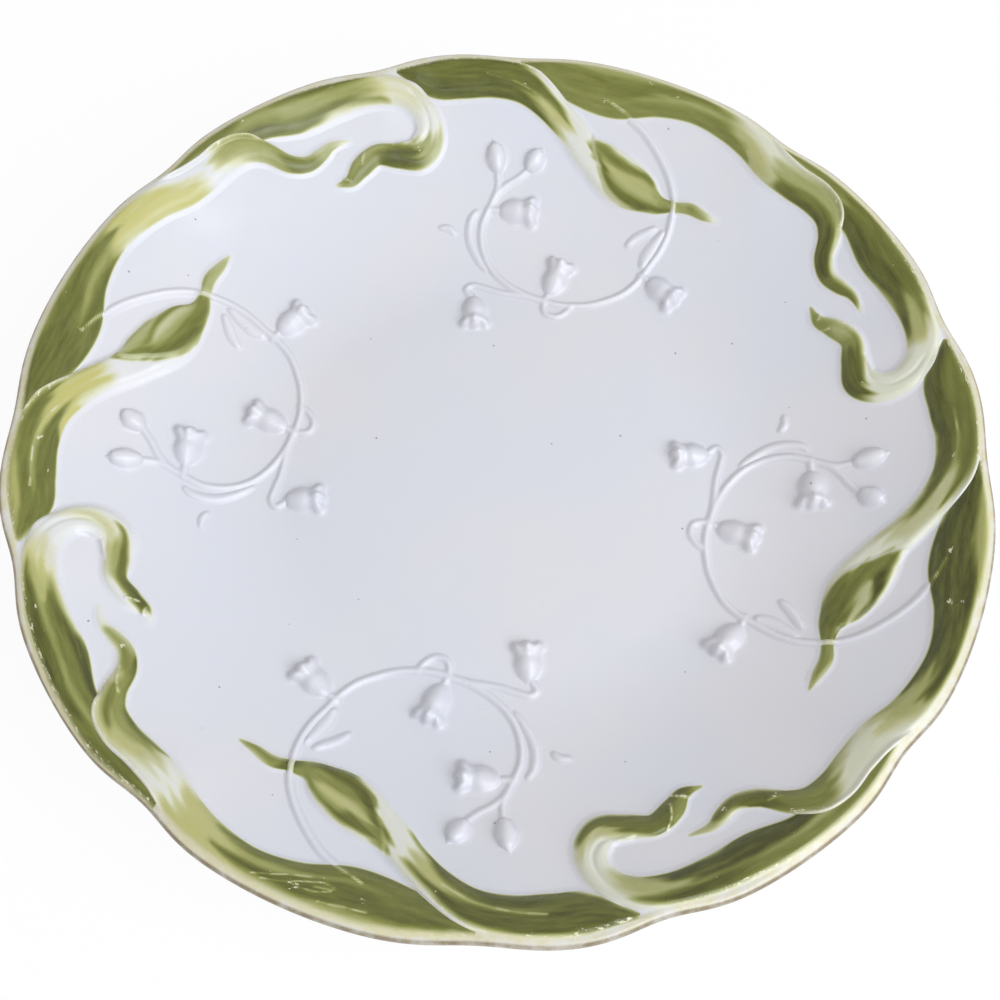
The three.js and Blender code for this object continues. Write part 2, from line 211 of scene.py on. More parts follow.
BLADE_LEAF = [
    (-130, 23.8, 0.3), (-127.1, 24.3, 0.9), (-124, 24.5, 1.2), (-121.4, 25.9, 1.1),
    (-118.5, 27, 2.2, 0.3), (-115, 26.1, 4.4, 0.7), (-111.2, 24.8, 5.4, 0.65), (-107.7, 22.8, 4.9, 0.4),
    (-104.3, 20.6, 3.7, -0.4), (-101.5, 17.2, 3.3, -0.6), (-97.9, 12.8, 3.3, -0.3), (-93.5, 8.5, 3.8),
    (-88.9, 6.8, 4.2), (-84.3, 6.5, 4.4), (-80.4, 6.4, 3.9), (-75.6, 3.7, 0.4),
]

# Sprig of the front repeat: angle and inset from the rim
STEM_ROUTE = [
    (-108.6, 10.7), (-111.8, 13), (-115, 16.2), (-118.4, 20.3), (-120.7, 24.2), (-122.7, 30.4),
    (-123.4, 35.9), (-123.1, 40.9), (-122.9, 44.4), (-121.7, 48.9), (-119.2, 52.5), (-115.1, 56),
    (-108.8, 58.4), (-102.9, 58.7), (-96.2, 57.3), (-91.1, 54.6), (-87.5, 50.5), (-86, 45.4),
    (-86.2, 40.4), (-87.7, 36.1),
]
STALK_ROUTES = [
    [(-122.5, 43.6), (-125.2, 43.5)],
    [(-110.8, 57.6), (-110, 60), (-107.4, 62.2), (-104.3, 62), (-103, 59.7), (-103.7, 55.7)],
    [(-102.3, 58.3), (-95.8, 58.1), (-90, 57.5), (-85.8, 56.2), (-82.8, 55.3), (-80.9, 56.2),
     (-82.4, 59.1)],
    [(-87.6, 36.3), (-90.6, 36.3)],
    [(-87.8, 36.1), (-89.1, 33), (-91.1, 30.5), (-93.3, 28.6), (-95.2, 26.2)],
    [(-88.9, 33.3), (-89.6, 30.7), (-89.5, 26.7)],
]
# Bells and buds: the crown, the mouth, and whether it is a bud
BELLS = [
    ((-124.5, 43.5), (-132.1, 44.4), False),
    ((-103.6, 56.8), (-104.9, 48), False),
    ((-82.6, 58.3), (-81.6, 66.5), False),
    ((-89.8, 36.3), (-96.6, 36.5), False),
    ((-94.7, 27), (-96.9, 21.9), True),
    ((-89.6, 27.9), (-88.9, 20.7), True),
]
# Bracts: angle, inset from the rim and half width
BRACTS = [
    [(-122.2, 30.7, 0.3), (-121.8, 34.9, 1.2), (-121.6, 38.9, 1.5), (-122.1, 42.5, 0.4)],
    [(-120.9, 30.9, 0.3), (-119.5, 33.4, 0.9), (-117.9, 36, 1.1), (-116.6, 39.4, 0.3)],
    [(-87.2, 52.5, 0.3), (-84.9, 48.6, 0.8), (-83.4, 43.2, 1), (-84.2, 38.2, 0.8), (-86, 35.7, 0.3)],
    [(-80.8, 42.2, 0.3), (-79.3, 40.1, 0.8), (-76.6, 39.3, 0.3)],
]
# Share of the length, and share of the half width there
BELL_PROFILE = [(0, 0.25), (0.16, 0.62), (0.42, 0.84), (0.74, 0.8), (0.94, 1), (1.2, 1.05)]
BUD_PROFILE = [(0, 0.25), (0.18, 0.7), (0.5, 1), (0.82, 0.75), (1, 0.3), (1.1, 0.1)]

# How far the paint of each hook leaf's tail runs out over the lip
HOOK_SPILL = (1, 0, 0, 0)
# Share of the paint that is left on the lip itself, by repeat: painted shade, none on the lit right side
LIP_PAINT_SHADE = (0.45, 0, 0.25, 0.2)

# Brush strokes of each leaf in the order front, right, back, left. A stroke is its strength, its
# soft edge and the stations it passes, each with the places across between which it lies.
HOOK_STROKES = [[
    (0.45, 0.9, [(1.2, -1.2, 1), (3.5, -1.1, 1), (4.4, -0.8, 1), (5.2, -0.65, 0.9), (5.9, -0.4, 0.8),
                 (7.2, 0.2, 0.6)]),
    (0.8, 0.35, [(-1, -0.2, 1.5), (1, -0.1, 1.45), (2, 0, 1.35), (3, 0.15, 1.2), (4, 0.25, 1.15),
                 (5, 0.3, 1.12), (5.8, 0.42, 0.92), (6.8, 0.55, 0.6)]),
    (0.92, 0.3, [(2.4, 0.25, 0.6), (3.2, 0.3, 0.8), (4.2, 0.4, 0.9), (5.2, 0.5, 0.85), (6, 0.6, 0.7)]),
    (0.8, 0.4, [(1.6, -1.3, -0.3), (3.4, -1.2, 0), (4, -1, 0.1), (4.6, -0.8, 0.1), (5.2, -0.7, 0),
                (5.6, -0.72, -0.4), (6.3, -0.68, -0.58)]),
    (0.95, 0.4, [(2.1, -1.2, -0.7), (3.6, -1.1, -0.6), (4.2, -0.9, -0.45), (4.8, -0.75, -0.4),
                 (5.6, -0.65, -0.45)]),
    (0.16, 0.8, [(8.4, 0.2, 0.7), (9.6, -0.1, 0.5), (10.6, -0.4, 0.2), (11.6, -0.7, -0.1),
                 (13, -0.95, -0.5)]),
    (0.5, 0.6, [(11, -0.1, 0.4), (12, -0.5, 0.4), (12.8, -0.4, 0.4), (13.6, -0.1, 0.3)]),
    (0.82, 0.3, [(10.5, 0.48, 0.56), (11.3, 0.35, 0.7), (12, 0.25, 0.85), (12.7, 0.2, 0.95),
                 (13.4, 0.1, 0.98), (14.1, -0.1, 0.95), (14.7, -0.5, 0.8), (15.4, -1.2, 0.2)]),
    (0.94, 0.3, [(13.2, 0.4, 0.9), (14, 0.3, 0.9), (14.6, 0, 0.75), (15.3, -0.8, 0)]),
], [
    (0.4, 0.9, [(1.2, -1.1, 0.8), (4.5, -1, 0.8), (6, -1.1, 0.6), (7.2, -1.1, 0.2), (8.8, -0.8, -0.2)]),
    (0.72, 0.35, [(0, 0, 0.8), (0.8, -0.05, 0.85), (1.8, 0, 0.85), (2.5, 0, 0.8), (3.2, 0.05, 0.8),
                  (4, 0.15, 0.85), (5, 0.12, 0.88), (5.8, 0.1, 0.85), (6.5, 0.25, 0.72),
                  (7.3, 0.42, 0.5)]),
    (0.93, 0.4, [(4.4, 0.2, 0.8), (5.6, 0.15, 0.8), (6.3, 0.25, 0.7), (7.2, 0.42, 0.5)]),
    (0.96, 0.35, [(1.8, -1.3, -0.6), (3.4, -1.2, -0.1), (4, -1.05, 0.05), (4.6, -0.92, 0.1),
                  (5.1, -0.92, 0.05), (5.7, -1, -0.35), (6.3, -1.1, -0.75), (7.2, -1.3, -1.15)]),
    (0.3, 0.6, [(9.4, 0.5, 0.9), (10.4, 0.1, 0.6), (11.2, -0.4, 0.2), (12, -0.9, -0.3),
                (12.8, -1.1, -0.8)]),
    (0.84, 0.3, [(10, 0.75, 0.9), (10.8, 0.35, 0.9), (11.5, -0.15, 0.9), (12.3, -0.7, 0.95),
                 (13, -1.1, 1.1), (13.6, -1.2, 1.3), (14.5, -1.2, 1.35), (16.4, -1.2, 1.2)]),
    (0.66, 0.3, [(13.2, -1.2, -1), (13.7, -1.2, -0.3), (14.1, -1.2, 0.4), (14.5, -1.1, 0.3),
                 (15, -1.1, -0.4)]),
    (0.4, 0.8, [(14.9, -1.2, -0.2), (15.6, -1.2, 1.2), (16.6, -1.2, 1.2)]),
], [
    (0.42, 0.9, [(1, -1.2, 0.9), (4.5, -1, 0.9), (5.4, -0.95, 0.75), (6.2, -1, 0.4), (7.6, -1.2, -0.5)]),
    (0.72, 0.35, [(0, 0.05, 0.75), (1, 0.05, 0.75), (2, 0.05, 0.75), (2.7, -0.1, 0.8), (3.3, -0.5, 0.9),
                  (4, -0.3, 0.95), (5, -0.05, 0.98), (5.7, 0.05, 0.6), (6.5, 0.1, 0.2)]),
    (0.82, 0.4, [(2.2, -0.6, 0.6), (4, -0.4, 0.7), (5, -0.1, 0.7), (5.8, 0, 0.5)]),
    (0.92, 0.4, [(2, -1.3, -0.5), (3.7, -1.2, -0.1), (4.4, -0.98, 0), (5, -0.88, -0.05),
                 (5.6, -0.94, -0.4), (6.1, -1.05, -0.7), (7, -1.35, -1.1)]),
    (0.92, 0.5, [(9.9, 0.65, 0.95), (10.6, 0.2, 1), (11.3, -0.3, 1.1), (12, -0.5, 1.15),
                 (13.2, -0.5, 1.2)]),
    (0.64, 0.6, [(12.2, -0.6, 1.3), (13.2, -0.5, 1.35), (14, -0.4, 1.35), (14.8, -0.7, 1.3),
                 (16.4, -1.2, 0.8)]),
    (0.4, 0.5, [(12.9, -0.3, 0.5), (13.6, -0.3, 0.7), (14.4, 0, 0.7)]),
    (0.35, 0.8, [(15, -1.2, 1.2), (15.6, -1.2, 1.2), (16.6, -1.2, 1.2)]),
], [
    (0.54, 0.9, [(0.8, -1.2, 1), (3.4, -1.1, 1), (4.2, -0.9, 1), (4.8, -0.7, 0.9), (5.7, -0.6, 0.5),
                 (6.9, -0.7, -0.3)]),
    (0.76, 0.35, [(-0.2, 0.2, 0.8), (0.7, 0.05, 0.95), (1.6, 0.05, 0.95), (2.7, 0.15, 0.85)]),
    (0.84, 0.5, [(1.4, -1.1, -0.3), (3, -1.1, -0.2), (3.8, -1.1, -0.5), (4.2, -0.9, -0.6)]),
    (0.44, 0.5, [(2.9, -0.1, 0.5), (3.5, -0.2, 0.5), (4.3, -0.1, 0.4), (5.2, 0, 0.4)]),
    (0.78, 0.4, [(3.2, 0.45, 0.85), (4, 0.5, 0.95), (4.9, 0.5, 1), (5.5, 0.5, 0.85), (6.1, 0.55, 0.65)]),
    (0.8, 0.4, [(3.4, -1.1, -0.5), (4.5, -0.85, -0.3), (5.2, -0.65, -0.2), (5.8, -0.75, -0.45),
                (7, -1, -0.8)]),
    (0.45, 0.8, [(9.4, 0.3, 0.9), (10.4, -0.4, 0.9), (11, -0.8, 0.9), (12, -1, 1.1), (13, -1, 1.3),
                 (14, -1, 1.3), (16.2, -1.1, 0.8)]),
    (0.88, 0.6, [(10.7, -0.2, 0.7), (11.4, -0.55, 0.9), (12.2, -0.6, 1.05), (12.8, -0.2, 1.1),
                 (13.8, 0.3, 1.1)]),
    (0.68, 0.6, [(12.6, 0, 1.3), (14, -0.2, 1.2), (15, -0.6, 0.9), (16, -1, 0.5)]),
]]
RIBBON_STROKES = [[
    (0.34, 0.8, [(0.6, -0.4, 0.4), (2, -0.4, 0.6), (3, -0.5, 0.8), (4, -0.6, 1.05), (5, -0.75, 1.15),
                 (6, -0.75, 1.1), (7, -0.7, 1), (7.8, -0.5, 0.9), (9, -0.2, 0.6)]),
    (0.62, 0.4, [(0.9, -0.4, 0.3), (2, -0.4, 0.5), (2.7, -0.4, 0.7), (3.4, -0.45, 0.95), (4, -0.3, 1.1),
                 (4.6, 0.1, 1.15), (5.3, -0.1, 1.15), (6, 0.1, 1.1), (7, 0.1, 0.95), (8.2, 0.3, 0.85)]),
    (0.74, 0.4, [(2.6, -0.3, 0.3), (3.3, -0.3, 0.6), (4, -0.1, 0.8), (4.6, 0.3, 0.9)]),
    (0.78, 0.4, [(4.4, -0.7, -0.1), (4.9, -0.4, 0.2), (5.4, -0.4, 0.2), (6, -0.4, 0.1), (7, -0.5, -0.2)]),
    (0.9, 0.25, [(3.4, 0.7, 0.95), (4.4, 0.9, 1.15), (5.4, 1, 1.2), (6.2, 0.9, 1.1), (7, 0.78, 0.95),
                 (7.7, 0.8, 0.95), (8.6, 0.9, 0.97)]),
    (0.34, 0.8, [(9.2, -0.7, 1), (10.5, -0.8, 1.05), (11.5, -0.85, 1), (12.5, -0.9, 0.9),
                 (13.5, -0.9, 0.9), (14.5, -0.9, 0.9), (16.5, -0.9, 0.9)]),
    (0.52, 0.5, [(11.2, -0.5, 0.9), (12.2, -0.7, 0.95), (13.5, -0.85, 1), (15, -0.9, 1), (16.8, -1, 0.9)]),
    (0.8, 0.3, [(10.6, 0.8, 0.9), (11.6, 0.62, 1), (12.5, 0.55, 1.05), (13.4, 0.5, 1.1),
                (14.3, 0.4, 1.1), (15, 0.2, 1.05), (16.5, -0.2, 0.6)]),
    (0.86, 0.3, [(10.7, -0.1, 0), (11.7, -0.3, 0.05), (12.5, -0.4, 0.15), (13.2, -0.55, 0.35),
                 (14, -0.55, 0.35), (15, -0.6, 0.2), (16.4, -0.8, -0.1)]),
], [
    (0.55, 0.6, [(0, -0.8, 0.9), (0.8, -0.6, 0.8), (1.5, -0.5, 0.9), (2.4, -0.4, 1)]),
    (0.9, 0.4, [(1.3, -0.1, 0.9), (2.4, -0.4, 0.9), (3, -0.8, 0.85), (3.5, -1.1, 0.75), (4, -1.2, 0.72),
                (4.6, -1, 0.85), (5.6, -0.75, 0.95)]),
    (0.72, 0.6, [(4.4, -0.9, 1), (5.6, -0.8, 1.15), (6.3, -0.7, 1.2), (7, -0.4, 1.2), (7.7, 0.1, 1.15),
                 (9, 0.5, 1)]),
    (0.88, 0.3, [(4.2, 0.6, 0.85), (5.4, 0.9, 1.15), (6.3, 1, 1.25), (7.4, 1, 1.25)]),
    (0.12, 1, [(6.6, -0.7, 0.2), (8, -0.6, 0.9), (9.6, -0.5, 1)]),
    (0.45, 0.8, [(8.9, 0.2, 1.05), (10, -0.3, 1.1), (11, -0.45, 1.05), (12, -0.45, 0.9),
                 (13.4, -0.4, 0.6)]),
    (0.84, 0.6, [(11.2, -0.4, 0.9), (12.4, -0.55, 1.1), (14, -0.65, 1.1), (15.2, -0.7, 0.9),
                 (16.8, -0.9, 0.6)]),
    (0.96, 0.35, [(10.4, 0.95, 1.05), (11.4, 0.6, 1.12), (12.2, 0.35, 1.2), (13, 0.25, 1.3),
                  (13.8, 0.15, 1.15), (14.4, 0.1, 1.1), (15.2, -0.2, 0.9), (16.4, -0.5, 0.5)]),
    (0.95, 0.35, [(10.1, 0, 0.12), (11, -0.4, 0.12), (11.6, -0.5, 0.12), (12.3, -0.42, 0.15),
                  (12.9, -0.45, 0.3), (13.6, -0.55, 0.35), (14.5, -0.65, 0.3), (16.4, -0.9, 0.1)]),
    (0.5, 0.4, [(13.2, -1.2, -0.85), (14.2, -1.2, -0.4), (15, -1.2, -0.3), (16, -1.2, -0.6)]),
], [
    (0.46, 0.7, [(0.2, 0, 1.3), (1.5, -0.4, 1.3), (3, -0.5, 1.3), (4, -0.8, 1.3), (5, -0.9, 1.25),
                 (6, -0.9, 1.25), (7, -0.85, 1.25), (8, -0.7, 1.1), (9.2, -0.3, 0.9)]),
    (0.82, 0.4, [(0.3, 0.1, 1.3), (1.4, -0.3, 1.3), (2.2, -0.25, 1.3), (3.1, -0.1, 1.3),
                 (3.6, -0.35, 1.3), (4.3, -0.6, 1.3), (5, -0.2, 1.25), (6, 0.1, 1.25), (7, 0.2, 1.15),
                 (8.8, 0.5, 0.9)]),
    (0.97, 0.45, [(2.5, 0, 1.2), (3.5, -0.2, 1), (4.2, -0.4, 0.8), (5.4, -0.1, 0.6)]),
    (0.95, 0.45, [(3.6, 0.8, 1.3), (5.5, 0.8, 1.25), (7.8, 0.8, 1.15)]),
    (0.34, 0.8, [(8.4, 0.1, 1.15), (9.8, 0.1, 1.25), (10.6, -0.3, 1.1), (11.4, -0.5, 0.9),
                 (12.8, -0.6, 0.6)]),
    (0.56, 0.5, [(10.4, -0.2, 1.15), (11.4, -0.5, 1.1), (12.5, -0.75, 1.1), (14, -0.85, 1.15),
                 (16.8, -1, 1)]),
    (0.7, 0.4, [(9.5, 0.9, 1.2), (10.5, 0.45, 1.15), (11, 0.25, 1.1), (12, 0.25, 1.1), (13, 0.4, 1.15),
                (14, 0.4, 1.2), (14.8, 0.2, 1.1), (16.5, -0.2, 0.8)]),
    (0.45, 0.3, [(10.8, -0.1, 0.15), (11.6, -0.12, 0.2), (12.3, -0.05, 0.2), (13.2, 0.1, 0.25)]),
    (0.75, 0.35, [(10.6, -0.15, -0.05), (11.5, -0.5, -0.1), (12.3, -0.8, -0.1), (13, -0.88, 0.05),
                  (14, -0.85, 0.3), (15, -0.85, 0.3), (16.5, -1, 0)]),
    (0.45, 0.5, [(11.6, -1.2, -0.85), (13, -1.2, -0.58), (14.4, -1.2, -0.52), (15.8, -1.2, -0.8)]),
], [
    (0.52, 0.9, [(0, -0.2, 1.3), (1.5, -0.2, 1.3), (2.4, -0.4, 1.3), (3, -0.7, 1.25), (4, -1, 1.1),
                 (5, -1, 0.9), (6, -0.95, 0.7), (7.9, -0.7, 0.4)]),
    (0.76, 0.7, [(1.9, -0.1, 0.9), (2.8, -0.3, 1.15), (3.5, -0.5, 1.1), (4.8, -0.4, 0.7)]),
    (0.5, 0.6, [(4, -0.7, 0.9), (5, -0.5, 0.9), (5.6, -0.3, 0.8), (6.8, 0, 0.6)]),
    (0.22, 0.9, [(8, 0.1, 1), (9.5, -0.2, 1.2), (10.5, -0.5, 1), (11.5, -0.85, 0.9), (12.5, -0.9, 0.9),
                 (14.2, -0.9, 0.9)]),
    (0.6, 0.5, [(11.4, -0.6, 0.7), (12.4, -0.75, 0.95), (13.5, -0.85, 1), (15, -0.85, 0.95),
                (16.8, -0.9, 0.8)]),
    (0.84, 0.35, [(11.6, 0.95, 1.05), (12.5, 0.7, 1.12), (13.2, 0.6, 1.15), (14, 0.45, 1.2),
                  (14.7, 0.2, 1.05), (16.2, -0.1, 0.7)]),
    (0.84, 0.35, [(11.2, 0.05, 0.12), (12.1, -0.25, 0.15), (12.8, -0.52, 0.18), (13.5, -0.62, 0.22),
                  (14.3, -0.65, 0.3), (15, -0.7, 0.4), (16.4, -0.9, 0.1)]),
]]
BLADE_STROKES = [[
    (0.55, 0.5, [(-0.4, -0.4, 0.8), (1, -0.5, 0.9), (1.6, -0.7, 0.9), (2.3, -1, 0.8), (3.2, -1.2, 0.8)]),
    (0.7, 0.4, [(0.2, 0, 0.7), (1.2, 0, 0.7), (2.2, -0.4, 0.5), (3, -0.9, 0.5)]),
    (0.9, 0.3, [(2.3, -1, 0.9), (2.95, -1.2, 1.1), (3.9, -1.2, 1)]),
    (0.66, 0.4, [(3, -1, 0.95), (4, -0.9, 0.9), (4.7, -0.8, 1.02), (5.3, -0.7, 1.02), (6, -0.6, 0.88),
                 (6.6, -0.6, 0.7), (7.2, -0.75, 0.25), (7.8, -0.9, -0.15), (8.6, -0.95, -0.55)]),
    (0.88, 0.35, [(3.6, 0.4, 0.85), (4.6, 0.45, 1.06), (5.2, 0.4, 1.03), (6, 0.35, 0.85),
                  (6.6, 0.15, 0.68), (7, -0.05, 0.42), (8, -0.5, -0.2)]),
    (0.32, 0.4, [(4.2, -0.48, -0.2), (5.2, -0.52, -0.06), (6, -0.44, 0.02), (6.6, -0.3, -0.02),
                 (7.2, -0.3, -0.15)]),
    (0.84, 0.3, [(4.2, -0.78, -0.68), (5.2, -0.82, -0.65), (5.9, -0.84, -0.55), (6.5, -0.82, -0.36),
                 (6.9, -0.78, -0.42), (7.6, -0.7, -0.6)]),
    (0.36, 0.7, [(8.6, -0.45, 0.6), (10, -0.5, 0.9), (11, -0.3, 0.6), (13.4, -0.2, 0.4)]),
    (0.9, 0.35, [(8.2, 0.97, 1.02), (9.3, 0.82, 0.98), (9.8, 0.6, 1.08), (10.4, 0.44, 1.1),
                 (11, 0.36, 1.02), (12, 0.3, 0.98), (13, 0.2, 1.05), (14, 0.05, 0.85), (15.6, -0.3, 0.6)]),
    (0.9, 0.35, [(8.7, -0.33, -0.25), (9.8, -0.5, -0.15), (10.4, -0.65, 0.05), (11, -0.75, 0.2),
                 (12, -0.8, 0.25), (13, -0.85, 0.3), (14, -0.95, 0.3), (15.6, -1.1, 0.1)]),
], [
    (0.62, 0.6, [(-0.6, -0.7, 0.6), (1.2, -0.8, 0.9), (2, -1, 1), (3.4, -1.2, 1)]),
    (0.76, 0.35, [(2.6, -1.2, 1.15), (3.5, -1.3, 1.15), (4.1, -1.1, 1), (4.7, -0.8, 1.05),
                  (5.4, -0.35, 0.92), (6, -0.3, 0.76), (6.6, -0.4, 0.52), (7.1, -0.6, 0.25),
                  (7.6, -0.8, -0.12), (8.3, -0.85, -0.6)]),
    (0.86, 0.4, [(3.4, -0.6, 0.6), (4.2, -0.5, 0.7), (5.2, 0, 0.7), (6.4, 0, 0.45)]),
    (0.3, 0.35, [(4.4, -0.85, -0.68), (5.1, -0.72, -0.36), (5.8, -0.6, -0.22), (6.7, -0.38, -0.16)]),
    (0.93, 0.3, [(4.6, -1, -0.92), (5.5, -0.95, -0.7), (6.2, -0.88, -0.48), (6.8, -0.78, -0.25),
                 (7.6, -0.7, -0.5)]),
    (0.26, 0.9, [(7.7, -0.2, 0.9), (9.2, -0.5, 0.9), (10.2, -0.6, 0.8), (11, -0.5, 0.6),
                 (13.4, -0.2, 0.4)]),
    (0.76, 0.5, [(10.8, -0.7, 0.8), (12, -0.85, 0.9), (13.2, -0.95, 1.1), (15.8, -1.1, 0.7)]),
    (0.92, 0.35, [(8.8, 0.45, 0.55), (9.5, 0.42, 0.68), (10, 0.4, 0.8), (11, 0.32, 0.98),
                  (12, 0.22, 0.92), (12.6, 0.22, 1), (13.2, 0.25, 1.15), (14, 0.05, 0.95),
                  (15.6, -0.2, 0.7)]),
    (0.78, 0.35, [(9.8, -0.5, -0.4), (10.7, -0.7, -0.2), (11.3, -0.8, -0.08), (12, -0.88, 0),
                  (13, -0.95, 0.1), (14, -1, 0.15), (15.6, -1.2, 0)]),
], [
    (0.52, 0.6, [(0.3, -0.3, 1.3), (1.6, -0.7, 1.3), (2.3, -0.8, 1.2), (3.4, -1.1, 1.1)]),
    (0.66, 0.5, [(1, 0, 1), (1.5, -0.4, 0.9), (2.4, -0.4, 0.8)]),
    (0.56, 0.45, [(2.7, -1.1, 1.1), (4, -1, 0.95), (4.8, -0.85, 1), (5.6, -0.75, 0.95),
                  (6.4, -0.65, 0.75), (7, -0.75, 0.45), (7.5, -0.8, 0.1), (8.2, -0.7, -0.25)]),
    (0.84, 0.35, [(3, 0.3, 1), (4, 0.5, 0.92), (5, 0.5, 1), (6, 0.42, 0.85), (6.6, 0.3, 0.7),
                  (7, 0.12, 0.45), (8, -0.5, -0.2)]),
    (0.38, 0.5, [(3.8, -0.5, 0.15), (5, -0.5, 0.3), (6, -0.3, 0.28), (7.2, -0.1, 0.1)]),
    (0.76, 0.35, [(4.5, -0.85, -0.75), (5.3, -0.87, -0.6), (6, -0.68, -0.38), (6.7, -0.6, -0.2),
                  (7.2, -0.68, -0.3), (7.9, -0.72, -0.6)]),
    (0.3, 0.7, [(8.8, -0.1, 0.9), (9.8, -0.3, 1), (10.4, -0.1, 0.7), (11.6, 0, 0.25)]),
    (0.82, 0.5, [(10.4, -0.6, 1), (11.4, -0.85, 1.1), (13, -0.95, 1.05), (15.8, -1.1, 0.9)]),
    (0.9, 0.35, [(9.3, 0.95, 1.1), (10.2, 0.65, 1.2), (10.8, 0.38, 1.2), (11.4, 0.2, 1.18),
                 (12.2, 0.1, 1.12), (13, 0.1, 1), (14, 0.05, 0.85), (15.6, -0.3, 0.6)]),
    (0.85, 0.35, [(9.2, -0.15, -0.05), (10.3, -0.5, 0.08), (11, -0.74, 0.12), (12, -0.9, 0.12),
                  (13, -0.95, 0.12), (14, -1, 0.12), (15.6, -1.1, -0.1)]),
], [
    (0.46, 0.7, [(-0.2, -0.5, 0.9), (1.5, -0.8, 1), (2.3, -1, 1), (3.4, -1.1, 1)]),
    (0.5, 0.5, [(2.9, -1, 0.9), (4, -1, 0.9), (5, -0.95, 0.95), (6, -0.85, 0.8), (7, -0.7, 0.4),
                (8, -0.9, -0.4)]),
    (0.72, 0.4, [(2.9, -0.9, 0.9), (3.9, -0.4, 0.8), (4.6, -0.05, 0.95), (5.4, 0.08, 0.95),
                 (6.3, 0.12, 0.72), (7, -0.15, 0.36), (7.5, -0.5, 0), (8, -0.9, -0.45),
                 (8.6, -1.1, -0.85)]),
    (0.82, 0.4, [(3.2, 0.2, 0.7), (4.6, 0.35, 0.85), (5.4, 0.4, 0.85), (6.3, 0.3, 0.6), (7.4, -0.2, 0.1)]),
    (0.26, 0.4, [(3.9, -0.9, -0.6), (5, -0.68, -0.3), (6, -0.48, -0.14), (7, -0.28, -0.1)]),
    (0.72, 0.35, [(4.1, -1.05, -0.95), (5.2, -0.9, -0.68), (6.1, -0.8, -0.44), (6.7, -0.65, -0.22),
                  (7.4, -0.6, -0.35)]),
    (0.4, 0.5, [(5.8, -1.05, -0.8), (7, -0.95, -0.45), (8, -1.05, -0.7)]),
    (0.22, 0.8, [(8.8, -0.7, 0.6), (10, -0.85, 0.7), (10.8, -0.7, 1), (12.4, 0.1, 1)]),
    (0.5, 0.6, [(10.2, -0.9, -0.3), (11.4, -1, 0.2), (13, -1.05, 0.5), (15.8, -1.1, 0.6)]),
    (0.82, 0.35, [(9.7, 0.42, 0.5), (10.8, 0.42, 0.72), (11.6, 0.28, 0.92), (12.4, 0.2, 1.06),
                  (13.2, 0.2, 1.15), (14, 0.1, 0.95), (15.6, -0.2, 0.7)]),
    (0.78, 0.3, [(9.9, -0.75, -0.68), (10.8, -0.8, -0.3), (11.5, -0.75, -0.05), (12.5, -0.6, 0),
                 (13.4, -0.45, 0.1), (14.2, -0.4, 0.15), (15.6, -0.6, 0)]),
]]
# Yellow washes under the green, in the same form
HOOK_WASHES = [[
    (0.6, 0.9, [(4.6, -0.7, 1), (6, -0.8, 1), (7, -0.7, 0.9), (8, -0.2, 0.6)]),
    (0.45, 0.7, [(8.2, 0.2, 0.7), (9.6, -0.1, 0.5), (10.6, -0.4, 0.2), (11.6, -0.7, -0.1),
                 (13, -0.9, -0.5)]),
    (0.5, 0.6, [(11, 0, 0.45), (12, 0, 0.5), (13.4, 0.1, 0.4)]),
], [
    (0.3, 1, [(5.4, -1.1, 0.2), (7, -1.1, 0.1), (8.8, -0.7, -0.2)]),
    (0.4, 0.6, [(9.4, 0.4, 0.9), (10.4, 0.1, 0.6), (11.2, -0.4, 0.2), (12.4, -1, -0.5)]),
], [
    (0.4, 1, [(4.6, -0.8, 0.4), (6.2, -1.1, 0.4), (7.8, -1.1, 0)]),
], [
    (0.5, 1, [(4.4, -0.6, 0.8), (6.2, -0.8, 0.9), (7.6, -0.8, 0.9), (9, -0.7, 0.7)]),
]]
RIBBON_WASHES = [[
    (0.4, 0.9, [(3.6, -0.7, 0.3), (5, -0.7, 0.8), (6.5, -0.9, 0.8), (8.8, -0.7, 0.7)]),
    (0.62, 0.9, [(9.2, -0.8, 1), (11, -0.8, 0.9), (13, -0.8, 0.7)]),
    (0.3, 0.9, [(13, -1, 0.4), (15, -1, 0.6), (17, -1, 0.6)]),
], [
    (0.35, 0.9, [(8.6, -0.2, 1.1), (10.5, -0.4, 1.1), (12.6, -0.3, 0.8)]),
    (0.6, 0.4, [(13.4, -1.1, -0.7), (14.4, -1.1, -0.4), (15.6, -1.1, -0.4)]),
], [
    (0.35, 0.9, [(8.4, 0.1, 1.2), (9.6, 0, 1.2), (11, 0, 1)]),
], [
    (0.9, 0.8, [(7.9, 0.1, 1.1), (9.6, -0.3, 1.2), (10.5, -0.6, 1), (11.5, -0.95, 0.85),
                (12.6, -0.95, 0.8), (14.2, -0.4, 0.5)]),
    (0.4, 0.9, [(4.6, -1, 0.4), (6.5, -1, 0.8), (8, -0.5, 0.6)]),
]]
